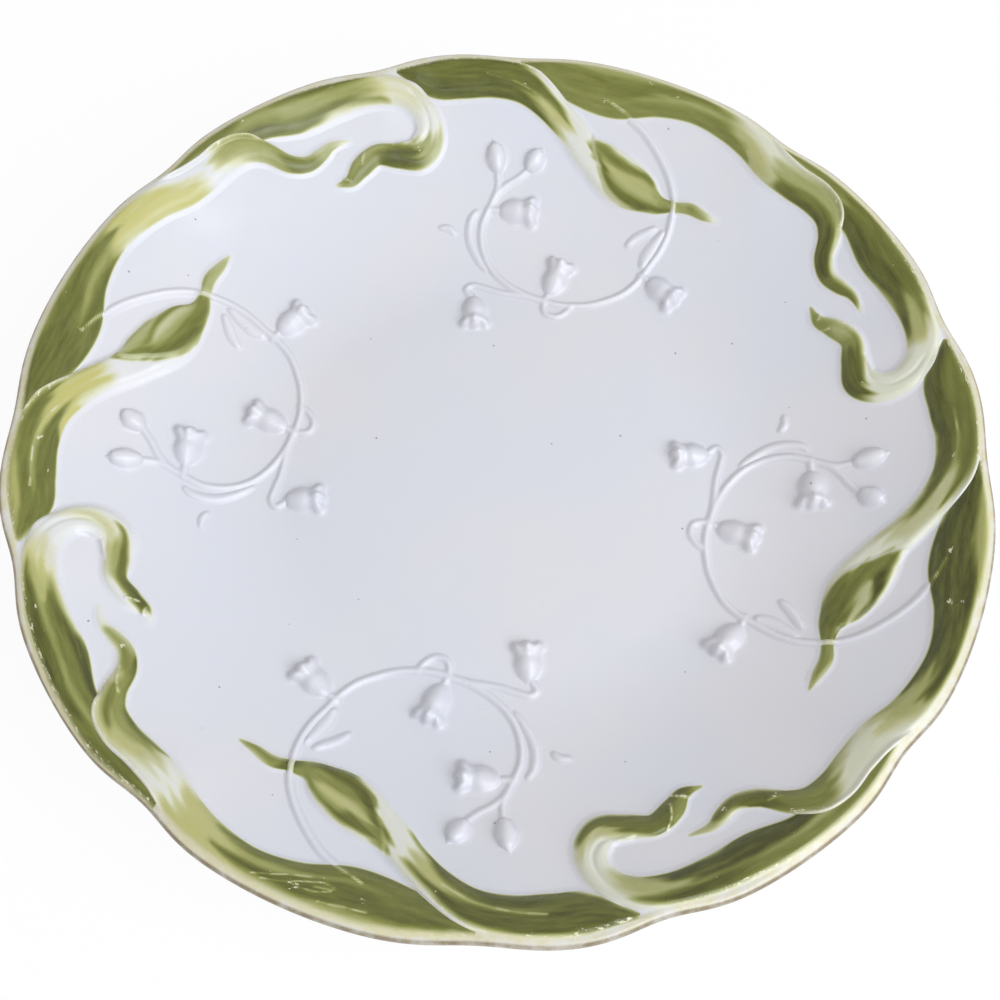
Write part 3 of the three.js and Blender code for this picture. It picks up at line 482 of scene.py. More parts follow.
BLADE_WASHES = [[
    (0.45, 0.6, [(4, -0.7, 0.2), (6, -0.6, 0.2), (7.4, -0.4, 0)]),
    (0.5, 0.8, [(8.8, -0.4, 0.8), (10.6, -0.4, 0.8), (11.8, 0, 0.4)]),
    (0.5, 0.4, [(10.8, -1.2, -0.8), (12.5, -1.2, -0.85), (14.8, -1.3, -0.95)]),
], [
    (0.15, 0.9, [(7.8, -0.5, 1), (9.5, -0.6, 0.9), (11.4, -0.3, 0.5)]),
], [
    (0.45, 0.6, [(3.6, -0.8, 0.3), (4.4, -0.7, 0.3), (5.5, -0.6, 0.3), (7.4, -0.3, 0.2)]),
    (0.5, 0.8, [(8.6, -0.1, 1), (9.8, -0.2, 0.9), (11.2, -0.1, 0.6)]),
], [
    (0.95, 0.9, [(8.3, -0.7, 0.5), (10, -0.9, 0.8), (10.6, -0.7, 1.15), (12.4, 0.3, 1.15)]),
    (0.85, 0.6, [(10.4, -1, -0.3), (12.5, -1.1, -0.2), (15.4, -1.1, 0)]),
]]
# Faint tint of a whole leaf, by repeat
HOOK_TINTS = (0.04, 0.07, 0.08, 0.05)
RIBBON_TINTS = (0.05, 0.07, 0.08, 0.03)
BLADE_TINTS = (0.05, 0.08, 0.05, 0.03)

# Raised lines on a leaf, by repeat: height, width, how bare of paint, and the points they pass.
# A point is a station and a place across.
HOOK_BORDER = (0.35, 0.5, 0.9, [(8.6, -0.95), (9.5, -1.02), (10.4, -1.05), (11.4, -1), (12.2, -0.85)])
HOOK_GROOVE = (-0.32, 0.5, 0.2, [(7.4, 0.35), (8.4, 0.15), (9.4, -0.05), (10.3, -0.3), (11.2, -0.6),
                                 (12, -0.85)])
HOOK_LINES = [[
    (0.3, 0.35, 0.85, [(13.9, -0.45), (14.2, 0), (14.5, 0.25)]),
    (0.3, 0.4, 0.9, [(14.95, 0.3), (15.1, -0.5), (15.3, -1.3)]),
    HOOK_BORDER,
    HOOK_GROOVE,
], [
    (0.3, 0.35, 0.85, [(13.2, -1.15), (13.6, -0.5), (13.9, 0.1), (14.1, 0.5)]),
    (0.35, 0.4, 0.95, [(14.55, 1.25), (14.65, 0.5), (14.85, -0.3), (15.15, -1.3)]),
    HOOK_BORDER,
    HOOK_GROOVE,
], [
    (0.25, 0.35, 0.6, [(14.2, 0.5), (14.4, 0.8), (14.6, 1.2)]),
    (0.3, 0.4, 0.6, [(15, 0.3), (15.15, -0.5), (15.35, -1.3)]),
    HOOK_BORDER,
    HOOK_GROOVE,
], [
    (0.25, 0.35, 0.6, [(13.4, -0.9), (13.7, -0.4), (13.9, 0)]),
    (0.3, 0.4, 0.7, [(15, 0.3), (15.15, -0.5), (15.35, -1.3)]),
    HOOK_BORDER,
    HOOK_GROOVE,
]]
STEM_END = (0.3, 0.32, 0.9, [(13.25, 1.45), (13.55, 1.1), (13.9, 0.7), (14.15, 0.5)])
RIBBON_LINES = [[
    STEM_END,
    (0.22, 0.4, 0.6, [(3.9, -0.55), (4.4, -0.3), (4.75, 0.2), (5, 0.5)]),
    (0, 0.22, 0.8, [(12.2, -0.35), (12.6, 0.05), (12.9, 0.3), (13.3, 0.4)]),
    (0, 0.2, 0.8, [(12.4, -0.4), (12.8, -0.15), (13.2, 0.15), (13.6, 0.2), (13.75, 0.05), (13.4, 0.02)]),
    (0, 0.2, 0.7, [(13, -0.1), (13.4, -0.2), (13.7, -0.05)]),
    (0, 0.25, 0.8, [(13.5, -0.55), (13.9, -0.5), (14.4, -0.45)]),
], [
    STEM_END,
    (0.22, 0.4, 0.4, [(4.3, -0.3), (4.5, 0.2), (4.7, 0.5)]),
], [
    STEM_END,
], [
    STEM_END,
]]
BLADE_LINES = [
    [(0.12, 0.3, 0.7, [(10.2, 0.2), (11, 0.3), (11.6, 0.28), (12.2, 0.2), (12.8, 0.1)])],
    [(0.12, 0.3, 0.6, [(10.2, 0.3), (11, 0.25), (11.8, 0.12), (12.8, 0.05)])],
    [(0.12, 0.3, 0.4, [(10.6, 0.2), (11.2, 0.2), (12.2, 0)])],
    [(0.12, 0.3, 0.8, [(10.4, 0.25), (11.2, 0.2), (12, 0.05), (13.4, 0.02)])],
]
# Worn patches, by repeat: station, place across and reach
HOOK_WEAR = [
    [(5.2, 0.7, 1.2), (4.6, 0.4, 0.7), (13.9, -0.2, 0.6)],
    [(3.2, -0.2, 0.6), (4.4, 0.13, 0.5), (5.1, 0.13, 0.5)],
    [(4.5, 0.2, 0.5), (10.8, -0.1, 1)],
    [(5.1, 0.7, 0.8), (11, -0.1, 0.8), (2.6, 0.3, 0.7)],
]
RIBBON_WEAR = [
    [(12.4, 0.2, 1.2), (13, -0.1, 1.3), (13.5, 0.2, 1.3), (14.3, -0.1, 0.9), (2.7, 0, 0.7),
     (4.7, 0.1, 0.8)],
    [(13.2, -0.1, 1.1), (14.3, 0.45, 0.9), (13.2, 0.4, 0.7), (2.2, 0.5, 0.7), (4.5, 0.5, 0.8)],
    [(12.6, -0.1, 0.7), (13.3, -0.5, 0.8), (14.2, 0.5, 0.8), (2.7, 0.1, 0.8)],
    [(14.1, 0.4, 0.9), (13.8, 0.1, 0.6), (13.5, -0.6, 0.9), (13.2, 0.5, 0.7)],
]
BLADE_WEAR = [
    [(10.8, 0.8, 0.8), (10.2, -0.3, 0.7), (12.4, -0.95, 1.5), (13.6, -1, 1.5)],
    [(12.3, -0.75, 0.6), (11.4, 0.2, 0.6)],
    [(11, 0.15, 0.7), (12.2, 0, 0.5)],
    [(11.9, 0.25, 0.9), (12.1, -0.2, 0.8), (12.4, 0, 0.8), (12.8, 0.9, 0.8)],
]
# Where the blade leaf turns over: the green side stands above the white back
BLADE_FOLD = [
    (4.3, 1.15), (5, 1), (5.6, 0.9), (6.2, 0.75), (6.8, 0.5), (7.3, 0.15), (7.8, -0.3), (8.2, -0.75),
    (8.6, -1.2),
]
# How bare of paint the edge of that turn is, by repeat; the cream line there is partly painted highlight
FOLD_LINE_BARE_AND_HIGHLIGHT = (0.2, 0.85, 0.7, 0.35)


class LeafKind(NamedTuple):
    """What the leaves of one kind share, with lists in the order front, right, back, left."""

    name: str
    route: list
    strokes: list
    washes: list
    tints: tuple
    lines: list
    wear: list
    rim_stations: tuple
    seed: int
    tip_first: bool = True
    spill: tuple = (0, 0, 0, 0)
    fold: list | None = None


HOOK = LeafKind(
    "hook_leaf", HOOK_LEAF, HOOK_STROKES, HOOK_WASHES, HOOK_TINTS, HOOK_LINES, HOOK_WEAR,
    rim_stations=(-math.inf, 6.6), seed=11, tip_first=False, spill=HOOK_SPILL,
)
RIBBON = LeafKind(
    "ribbon_leaf", RIBBON_LEAF, RIBBON_STROKES, RIBBON_WASHES, RIBBON_TINTS, RIBBON_LINES, RIBBON_WEAR,
    rim_stations=(5, math.inf), seed=31,
)
BLADE = LeafKind(
    "blade_leaf", BLADE_LEAF, BLADE_STROKES, BLADE_WASHES, BLADE_TINTS, BLADE_LINES, BLADE_WEAR,
    rim_stations=(9, math.inf), seed=51, fold=BLADE_FOLD,
)


def smoothstep(low, high, x):
    """An eased step from 0 to 1 as x goes from low to high."""
    share = np.clip((x - low) / (high - low), 0, 1)
    return share * share * (3 - 2 * share)


def faded_ends(share, length):
    """1 along a line and 0 at its two ends."""
    return smoothstep(0, length, share) * smoothstep(1, 1 - length, share)


def hump(away, width):
    """1 on a line and nearly 0 beyond its width on either side."""
    return np.exp(-((away / width) ** 2))


def lattice(ix, iy, seed):
    """A fixed number from 0 to 1 for each lattice point, by mixing its bits."""
    mixed = (ix * 374761393 + iy * 668265263 + seed * 97463453) & 0xFFFFFFFF
    mixed = ((mixed ^ (mixed >> 13)) * 1274126177) & 0xFFFFFFFF
    return ((mixed ^ (mixed >> 16)) & 0xFFFF) / 0xFFFF


def noise(x, y, seed):
    """Smooth noise from -1 to 1 over a plane."""
    ix, iy = np.floor(x).astype(np.int64), np.floor(y).astype(np.int64)
    fx, fy = smoothstep(0, 1, x - ix), smoothstep(0, 1, y - iy)
    low = lattice(ix, iy, seed) * (1 - fx) + lattice(ix + 1, iy, seed) * fx
    high = lattice(ix, iy + 1, seed) * (1 - fx) + lattice(ix + 1, iy + 1, seed) * fx
    return 2 * (low * (1 - fy) + high * fy) - 1


def notch_depth(angle):
    """How far the rim is drawn in at an angle."""
    depth = 0
    for middle, most, spread in NOTCHES:
        turn = angle - middle
        away = turn - REPEAT_ANGLE * np.round(turn / REPEAT_ANGLE)
        depth = depth + most * hump(away, spread)
    return depth


def notch_share(radius):
    """How far the notches reach in: 1 at the rim and 0 on the inner flank."""
    return smoothstep(RIM_RADIUS - NOTCH_REACH, RIM_RADIUS, radius)


def flank_height(radius):
    """Height of well and flank on the unnotched profile, carried on past the rim."""
    reach = np.maximum(0, (radius - WELL_RADIUS) / (RIM_RADIUS - WELL_RADIUS))
    return WELL_FLOOR + RIM_RISE * ((1 + RIM_EASE) * reach**2 - RIM_EASE * reach**3)


# The lip is a half round that carries on the flank's slope
LIP = LIP_THICKNESS / 2
LIP_SLOPE = math.atan(RIM_RISE / (RIM_RADIUS - WELL_RADIUS) * (2 - RIM_EASE))
FLANK_END = RIM_RADIUS - LIP * (1 + math.sin(LIP_SLOPE))
LIP_MIDDLE = (RIM_RADIUS - LIP, float(flank_height(FLANK_END)) - LIP * math.cos(LIP_SLOPE))


def top_height(radius):
    """Height of the upper surface on the unnotched profile, with the lip's rounding."""
    out = np.clip(radius - LIP_MIDDLE[0], -LIP, LIP)
    lip = LIP_MIDDLE[1] + np.sqrt(np.maximum(0, LIP**2 - out**2))
    return np.where(radius < FLANK_END, flank_height(np.minimum(radius, FLANK_END)), lip)


def lip_reach(radius):
    """How far a point of the unnotched profile lies over the start of the lip."""
    turn = np.arcsin(np.clip((radius - LIP_MIDDLE[0]) / LIP, -1, 1)) + LIP_SLOPE
    return np.where(radius < FLANK_END, (radius - FLANK_END) / math.cos(LIP_SLOPE), LIP * turn)


def plain_radius(x, y):
    """The radius on the unnotched profile of a point of the plate, found in a few rounds."""
    depth = notch_depth(np.degrees(np.arctan2(y, x)))
    drawn = np.hypot(x, y)
    radius = drawn
    for _ in range(4):
        radius = drawn + depth * notch_share(radius)
    return radius


def ground(x, y):
    """Height of the plate's upper surface at points."""
    return top_height(plain_radius(x, y))


def within_rim(x, y):
    """Points drawn back to just inside the lip."""
    over = np.maximum(0, plain_radius(x, y) - (RIM_RADIUS - LEAF_RIM_GAP))
    share = 1 - over / np.hypot(x, y)
    return x * share, y * share


def spot(angle, inset, repeat):
    """The point of the plate at an angle and an inset from the rim."""
    turned = math.radians(angle + REPEAT_ANGLE * repeat)
    radius = RIM_RADIUS - inset
    return radius * math.cos(turned), radius * math.sin(turned)


def curve(points, count):
    """Points along a centripetal spline through points, evenly by station."""
    points = np.asarray(points, float)
    last = len(points) - 1
    station = np.linspace(0, last, count)
    index = np.minimum(station.astype(int), last - 1)
    w = (station - index)[:, None]
    padded = np.vstack([2 * points[0] - points[1], points, 2 * points[-1] - points[-2]])
    p0, p1, p2, p3 = (padded[index + step] for step in range(4))
    gaps = [np.sum((b - a) ** 2, axis=1) ** 0.25 for a, b in ((p0, p1), (p1, p2), (p2, p3))]
    d0, d1, d2 = (np.maximum(gap, 1e-4)[:, None] for gap in gaps)
    t1 = ((p1 - p0) / d0 - (p2 - p0) / (d0 + d1) + (p2 - p1) / d1) * d1
    t2 = ((p2 - p1) / d1 - (p3 - p1) / (d1 + d2) + (p3 - p2) / d2) * d1
    return p1 + t1 * w + (3 * (p2 - p1) - 2 * t1 - t2) * w**2 + (2 * (p1 - p2) + t1 + t2) * w**3


class Route:
    """A strip's middle line on the plate, with the direction across and the half width."""

    ROUGH_POINTS = 40
    LEAST_ROWS = 12
    LEAST_HALF = 0.15
    BATCH = 4000

    def __init__(self, stations, repeat, step):
        rows = [(*spot(s[0], s[1], repeat), s[2]) for s in stations]
        rough = curve(rows, self.ROUGH_POINTS * len(rows))
        length = np.hypot(*np.diff(rough[:, :2], axis=0).T).sum()
        count = max(self.LEAST_ROWS, math.ceil(length / step))
        line = curve(rows, count)
        self.x, self.y, self.half = line.T
        self.half = np.maximum(self.half, self.LEAST_HALF)
        self.station = np.linspace(0, len(rows) - 1, count)
        heading = np.gradient(line[:, :2], axis=0)
        heading /= np.hypot(*heading.T)[:, None]
        self.across = np.stack([-heading[:, 1], heading[:, 0]], axis=1)
        walked = np.hypot(*np.diff(line[:, :2], axis=0).T)
        self.along = np.concatenate([[0], np.cumsum(walked)])
        ridges = [s[3] if len(s) > 3 else 0 for s in stations]
        self.ridge = np.interp(self.station, range(len(rows)), ridges)

    def at(self, station, place):
        """The point at a station and a place across."""
        x, y, half = (np.interp(station, self.station, v) for v in (self.x, self.y, self.half))
        side_x, side_y = (np.interp(station, self.station, self.across[:, axis]) for axis in (0, 1))
        return x + side_x * half * place, y + side_y * half * place

    def beside(self, offset):
        """A grid of points at offsets across from every row."""
        return self.x[:, None] + self.across[:, :1] * offset, self.y[:, None] + self.across[:, 1:] * offset

    def nearest(self, x, y):
        """The row that points lie beside, with its fraction, and their offset across."""
        row = np.empty(x.shape, int)
        flat_x, flat_y = x.ravel(), y.ravel()
        for start in range(0, flat_x.size, self.BATCH):
            part = slice(start, start + self.BATCH)
            away = np.hypot(flat_x[part, None] - self.x, flat_y[part, None] - self.y)
            row.ravel()[part] = away.argmin(axis=1)
        dx, dy = x - self.x[row], y - self.y[row]
        ahead = dx * self.across[row, 1] - dy * self.across[row, 0]
        offset = dx * self.across[row, 0] + dy * self.across[row, 1]
        position = row + ahead / np.gradient(self.along)[row]
        beyond = (position < 0) | (position > len(self.x) - 1)
        offset = np.where(beyond, np.where(offset < 0, -1, 1) * np.hypot(dx, dy), offset)
        return position, offset

    def value(self, values, position):
        """A value that is given by row, between the rows."""
        return np.interp(position, np.arange(len(values)), values)


def line_distance(points, x, y):
    """Distance to an open chain of points, how far along it, and on which side."""
    best = np.full(x.shape, FAR)
    share = np.zeros(x.shape)
    side = np.ones(x.shape)
    pieces = len(points) - 1
    for index, ((ax, ay), (bx, by)) in enumerate(zip(points, points[1:])):
        dx, dy = bx - ax, by - ay
        w = np.clip(((x - ax) * dx + (y - ay) * dy) / (dx * dx + dy * dy), 0, 1)
        away = np.hypot(x - ax - w * dx, y - ay - w * dy)
        closer = away < best
        best = np.where(closer, away, best)
        share = np.where(closer, (index + w) / pieces, share)
        side = np.where(closer, np.sign(dx * (y - ay) - dy * (x - ax)), side)
    return best, share, side


def leaf_height(half, ridge, offset):
    """Height of a plain leaf at an offset from its middle line."""
    share = np.minimum(1, half / LEAF_FULL_WIDTH)
    edge = half - np.abs(offset)
    rounding = np.minimum(LEAF_ROUND, LEAF_ROUND_SHARE * half)
    rise = smoothstep(-SKIRT, rounding, edge)
    place = np.clip(offset / half, -1, 1)
    arch = 1 - ((place - ridge) / (1 + np.abs(ridge))) ** 2
    bead = BEAD_HEIGHT * hump(edge - BEAD_INSET, BEAD_WIDTH)
    return rise * share * (LEAF_LIP + (LEAF_CROWN - LEAF_LIP) * arch + bead) - SUNK * (1 - rise)


def leaf_field(route, x, y):
    """Height that a leaf has at points of the plate, and how far they lie inside its edge."""
    position, offset = route.nearest(x, y)
    half, ridge = route.value(route.half, position), route.value(route.ridge, position)
    return np.maximum(0, leaf_height(half, ridge, offset)), half - np.abs(offset)


def stroke_mask(route, rows, station, place, half, soft):
    """How far a stroke covers points of a leaf, which are given by station and place across."""
    keys = [row[0] for row in rows]
    span = route.along[-1] / route.station[-1]
    ends = np.minimum(station - keys[0], keys[-1] - station) * span
    mask = smoothstep(-STROKE_START, STROKE_END + STROKE_END_SOFT * soft, ends)
    for side, column in ((1, 1), (-1, 2)):
        border = curve([(row[0], row[column]) for row in rows], 12 * len(rows))
        limit = np.interp(station, *border.T)
        crisp = smoothstep(CRISP_FROM, CRISP_TO, -side * limit)
        blur = (STROKE_BLUR + STROKE_BLUR_SOFT * soft) * (1 - CRISP_SHARE * crisp)
        mask = mask * smoothstep(-blur, blur, side * (place - limit) * half + CRISP_SPREAD * crisp)
    return mask


def columns_with_skirt(core, skirt):
    """Places across a strip: from -1 to 1 on the strip, and out to -2 and 2 on its skirts."""
    over = np.linspace(1 / skirt, 1, skirt)
    return np.concatenate([-1 - over[::-1], np.linspace(-1, 1, core), 1 + over])


def softened(height, passes):
    """Heights blurred over their neighbours, as a thick glaze softens a form."""
    for _ in range(passes):
        padded = np.pad(height, 1, mode="edge")
        around = padded[:-2, 1:-1] + padded[2:, 1:-1] + padded[1:-1, :-2] + padded[1:-1, 2:]
        height = (around + 4 * height) / 8
    return height


def edge_sunk(height):
    """Heights with their flat surroundings just under the glaze."""
    return height - SUNK * smoothstep(0.05, 0, height)


def signed_volume(mesh):
    """Six times the volume, which is negative where the faces point in."""
    mesh.calc_loop_triangles()
    corners = np.empty(len(mesh.vertices) * 3)
    mesh.vertices.foreach_get("co", corners)
    corners = corners.reshape(-1, 3)
    triangles = np.empty(len(mesh.loop_triangles) * 3, np.int32)
    mesh.loop_triangles.foreach_get("vertices", triangles)
    a, b, c = (corners[triangles.reshape(-1, 3)[:, k]] for k in range(3))
    return float(np.einsum("ij,ij->i", a, np.cross(b, c)).sum())


def add_to_scene(name, data):
    """A new object in the scene, for a mesh, a camera or a light."""
    made = bpy.data.objects.new(name, data)
    bpy.context.scene.collection.objects.link(made)
    return made


def make_object(name, corners, faces, border, attributes):
    """An object from corners in millimetres. Edges between border corners stay sharp."""
    mesh = bpy.data.meshes.new(name)
    mesh.from_pydata((corners * MM).tolist(), [], faces)
    mesh.update()
    if signed_volume(mesh) < 0:
        mesh.flip_normals()
    mesh.polygons.foreach_set("use_smooth", np.ones(len(mesh.polygons), bool))
    if border is not None:
        ends = np.empty(len(mesh.edges) * 2, np.int32)
        mesh.edges.foreach_get("vertices", ends)
        ends = ends.reshape(-1, 2)
        sharp = mesh.attributes.new("sharp_edge", "BOOLEAN", "EDGE")
        sharp.data.foreach_set("value", border[ends[:, 0]] & border[ends[:, 1]])
    for key, value in attributes.items():
        kind, field = ("FLOAT", "value") if value.shape[1] == 1 else ("FLOAT_VECTOR", "vector")
        stored = mesh.attributes.new(key, kind, "POINT")
        stored.data.foreach_set(field, value.ravel().astype(np.float32))
    return add_to_scene(name, mesh)


def relief_mesh(name, x, y, height, attributes):
    """A closed mesh over a grid of points: its top on the plate, its walls and a plain underside."""
    rows, columns = x.shape
    count = rows * columns
    surface = ground(x, y)
    sides = [0, -1]
    upper = np.stack([x, y, surface + height], axis=-1)
    lower = np.stack([x, y, surface - UNDERSIDE], axis=-1)[:, sides]
    corner = np.arange(count).reshape(rows, columns)
    under = count + np.arange(rows * 2).reshape(rows, 2)
    quads = [
        (corner[:-1, :-1], corner[:-1, 1:], corner[1:, 1:], corner[1:, :-1]),
        (under[:-1, 0], corner[:-1, 0], corner[1:, 0], under[1:, 0]),
        (corner[:-1, -1], under[:-1, 1], under[1:, 1], corner[1:, -1]),
        (under[:-1, 1], under[:-1, 0], under[1:, 0], under[1:, 1]),
    ]
    faces = []
    for quad in quads:
        faces += np.stack(quad, axis=-1).reshape(-1, 4).tolist()
    faces.append([under[0, 0], under[0, 1], *corner[0, ::-1].tolist()])
    faces.append([under[-1, 1], under[-1, 0], *corner[-1].tolist()])
    border = np.zeros(count + rows * 2, bool)
    for line in (corner[0], corner[-1], corner[:, 0], corner[:, -1], under):
        border[line] = True
    filled = {}
    for key, value in attributes.items():
        on_sides = value[:, sides].reshape(rows * 2, -1)
        filled[key] = np.concatenate([value.reshape(count, -1), on_sides])
    corners = np.vstack([upper.reshape(-1, 3), lower.reshape(-1, 3)])
    return make_object(name, corners, faces, border, filled)


def revolved(name, profile, attributes):
    """A closed mesh turned about the axis from a profile, drawn in by the rim's notches.

    A profile that starts and ends on the axis is closed there by fans of triangles. Attributes
    have one value for each point of the profile.
    """
    on_axis = profile[0][0] == 0
    rings = slice(1, -1) if on_axis else slice(None)
    radius, height = np.array(profile[rings], float).T
    angle = np.arange(BODY_SIDES) * 2 * np.pi / BODY_SIDES
    drawn = radius[:, None] - notch_depth(np.degrees(angle)) * notch_share(radius)[:, None]
    z = np.broadcast_to(height[:, None], drawn.shape)
    corners = np.stack([drawn * np.cos(angle), drawn * np.sin(angle), z], axis=-1).reshape(-1, 3)
    spread = {key: np.repeat(value[rings], BODY_SIDES) for key, value in attributes.items()}
    corner = np.arange(len(corners)).reshape(drawn.shape)
    ahead = np.roll(corner, -1, axis=1)
    quads = np.stack([corner, ahead, np.roll(ahead, -1, axis=0), np.roll(corner, -1, axis=0)], axis=-1)
    if on_axis:
        top, bottom = len(corners), len(corners) + 1
        corners = np.vstack([corners, (0, 0, profile[0][1]), (0, 0, profile[-1][1])])
        spread = {key: np.append(spread[key], value[[0, -1]]) for key, value in attributes.items()}
        faces = quads[:-1].reshape(-1, 4).tolist()
        faces += [[top, b, a] for a, b in zip(corner[0].tolist(), ahead[0].tolist())]
        faces += [[bottom, a, b] for a, b in zip(corner[-1].tolist(), ahead[-1].tolist())]
    else:
        faces = quads.reshape(-1, 4).tolist()
    return make_object(name, corners, faces, None, {key: v[:, None] for key, v in spread.items()})


def body_profile():
    """The body's section, from the middle of the well over the lip to the middle of the underside."""
    profile = [(0, WELL_FLOOR)]
    profile += [(r, WELL_FLOOR) for r in np.linspace(RING_GAP, WELL_RADIUS - RING_GAP, WELL_RINGS)]
    profile += [(r, float(flank_height(r))) for r in np.linspace(WELL_RADIUS, FLANK_END, FLANK_RINGS)]
    for turn in np.linspace(LIP_SLOPE + math.pi / 2, LIP_SLOPE - math.pi / 2, LIP_RINGS)[1:]:
        profile.append((LIP_MIDDLE[0] + LIP * math.cos(turn), LIP_MIDDLE[1] + LIP * math.sin(turn)))
    foot_edge = FOOT_RADIUS + FOOT_WIDTH
    lip_radius, lip_height = profile[-1]
    lip_wall = float(flank_height(lip_radius)) - lip_height
    for share in np.linspace(1, 0, UNDER_RINGS)[1:]:
        radius = foot_edge + (lip_radius - foot_edge) * share
        wall = WALL_THICKNESS + (lip_wall - WALL_THICKNESS) * share**3
        profile.append((radius, max(float(flank_height(radius)) - wall, FOOT_HEIGHT)))
    profile += [(r, FOOT_HEIGHT) for r in np.linspace(foot_edge, RING_GAP, BASE_RINGS)[1:]]
    profile.append((0, FOOT_HEIGHT))
    return profile


def rim_reach(profile):
    """How far each point of the body's profile has come over the lip."""
    steps = np.hypot(*np.diff(np.array(profile), axis=0).T)
    walked = np.concatenate([[0], np.cumsum(steps)])
    return walked - walked[WELL_RINGS + FLANK_RINGS]


def foot_profile():
    """The foot ring's section: a flat sole, round edges and sides that flare into the body."""
    inner = FOOT_RADIUS - FOOT_WIDTH / 2
    outer = FOOT_RADIUS + FOOT_WIDTH / 2
    ease = FOOT_CHAMFER
    rise = FOOT_HEIGHT + FOOT_TUCK - ease
    sole = [(inner + ease, 0.0), (outer - ease, 0.0)]
    turns = np.linspace(0, math.pi / 2, FOOT_ARC_RINGS)[1:]
    side = [(outer - ease * (1 - math.sin(turn)), ease * (1 - math.cos(turn))) for turn in turns]
    shares = np.linspace(0, 1, FOOT_FLARE_RINGS)[1:]
    flare = [(outer + ease * share**3, ease + rise * share) for share in shares]
    back = [(2 * FOOT_RADIUS - r, z) for r, z in reversed(sole[1:] + side + flare)]
    return sole + side + flare + back[:-1]


class Leaf:
    """A painted leaf of one repeat, as a grid of points along its route with heights and paint."""

    def __init__(self, kind, repeat):
        self.kind, self.repeat, self.seed = kind, repeat, kind.seed + repeat
        self.node = f"{kind.name}_{repeat + 1}"
        self.route = route = Route(kind.route, repeat, LEAF_STEP)
        columns = columns_with_skirt(LEAF_COLUMNS, LEAF_SKIRT_COLUMNS)
        self.half, self.ridge, self.station, self.along = (
            np.repeat(values[:, None], len(columns), axis=1)
            for values in (route.half, route.ridge, route.station, route.along)
        )
        skirt = SKIRT * np.minimum(1, SKIRT_LEAST + SKIRT_GROWTH * self.half)
        over = np.maximum(0, np.abs(columns) - 1) * skirt
        self.offset = np.sign(columns) * (np.minimum(1, np.abs(columns)) * self.half + over)
        self.x, self.y = route.beside(self.offset)
        self.edge = self.half - np.abs(self.offset)
        self.from_tip = self.along if kind.tip_first else route.along[-1] - self.along
        self.rim_side = self.offset < 0 if kind.tip_first else self.offset > 0
        self.height = leaf_height(self.half, self.ridge, self.offset)
        self.height *= TIP_HEIGHT + (1 - TIP_HEIGHT) * smoothstep(0, TIP_FADE, self.from_tip)
        self.inside = smoothstep(-SKIRT, 0.5, self.edge)
        self.bare = np.zeros_like(self.height)
        self.cream = np.zeros_like(self.height)

    def chain(self, points, count):
        """A smooth line through points given by station and place across."""
        return curve([self.route.at(*point) for point in points], count).tolist()

    def add_lines(self):
        """Raises the lines on the leaf, whose paint is worn in places."""
        for rise, width, bareness, points in self.kind.lines[self.repeat]:
            away, share, _ = line_distance(self.chain(points, 8 * len(points)), self.x, self.y)
            crest = hump(away, width) * faded_ends(share, LINE_FADE)
            self.height = self.height + rise * crest * self.inside
            uneven = smoothstep(-0.3, 0.2, noise(share * 9, share * 3, self.seed))
            broken = LINE_LEAST_BARE + (1 - LINE_LEAST_BARE) * uneven
            self.bare = np.maximum(self.bare, bareness * broken * hump(away, LINE_BARE_WIDTH * width))

    def add_fold(self):
        """Sets the green side of a leaf that turns over above its white back."""
        away, share, side = line_distance(self.chain(self.kind.fold, 60), self.x, self.y)
        fade = faded_ends(share, FOLD_FADE)
        green_side = smoothstep(0.5, -0.6, away * side)
        step = green_side * FOLD_RISE * np.exp(-away / FOLD_RISE_REACH)
        step -= (1 - green_side) * FOLD_DROP * np.exp(-away / FOLD_DROP_REACH)
        self.height = self.height + self.inside * fade * step
        # A bared cream line along the turn, partly painted highlight
        self.cream = FOLD_LINE_BARE_AND_HIGHLIGHT[self.repeat] * fade * hump(away, FOLD_LINE_WIDTH)

    def lap(self, below, above):
        """Lays the leaf over the one below, with a bared edge, and hides it under the one above.

        Gives where it rests on the one below.
        """
        lifted, _ = leaf_field(below.route, self.x, self.y)
        resting = smoothstep(0.05, 0.5, lifted)
        uneven = smoothstep(-0.4, 0.3, noise(self.along * 0.7, np.zeros_like(self.along), self.seed + 2))
        frayed = LAP_LINE_LEAST + (1 - LAP_LINE_LEAST) * uneven
        line = hump(self.edge - LAP_LINE_INSET, LAP_LINE_WIDTH)
        self.cream = np.maximum(self.cream, LAP_LINE_BARE * resting * frayed * line)
        self.bare = np.maximum(self.bare, self.cream)
        lifted = lifted * (1 - smoothstep(0, LAP_EDGE, self.edge))
        self.height = self.height + lifted - LAP_DIP * resting * smoothstep(0.4, -0.5, self.edge)
        _, covered = leaf_field(above.route, self.x, self.y)
        hidden = smoothstep(0.1, LAP_EDGE, covered)
        self.height = self.height * (1 - hidden) - BURIED * hidden
        return resting

    def meet_rim(self):
        """Keeps the leaf inside the rim and thins it out towards the lip.

        Gives where its paint runs over the lip, and how far it has come over the lip.
        """
        self.x, self.y = within_rim(self.x, self.y)
        tail = sum(share * smoothstep(start, full, self.station) for share, start, full in SPILL_STEPS)
        spilled = self.kind.spill[self.repeat] * tail * self.rim_side
        reach = lip_reach(plain_radius(self.x, self.y)) - SPILL_REACH * spilled
        thinned = self.height * smoothstep(LIP_THIN, -LIP_THIN, reach)
        self.height = np.where(self.height > 0, thinned, self.height)
        return spilled, reach

    def brushed(self, strokes, first):
        """Paint laid on in strokes, each of which covers what is under it."""
        station = self.station + RAGGED_STATION * noise(self.along * 0.15, self.offset * 1.1, self.seed)
        uneven = noise(self.along * 0.4, self.offset * 0.8, self.seed + 1)
        place = self.offset / self.half + RAGGED_PLACE * uneven
        paint = np.full_like(self.height, first)
        for strength, soft, rows in strokes:
            mask = stroke_mask(self.route, rows, station, place, self.half, soft)
            paint = paint + mask * (strength - paint)
        return paint

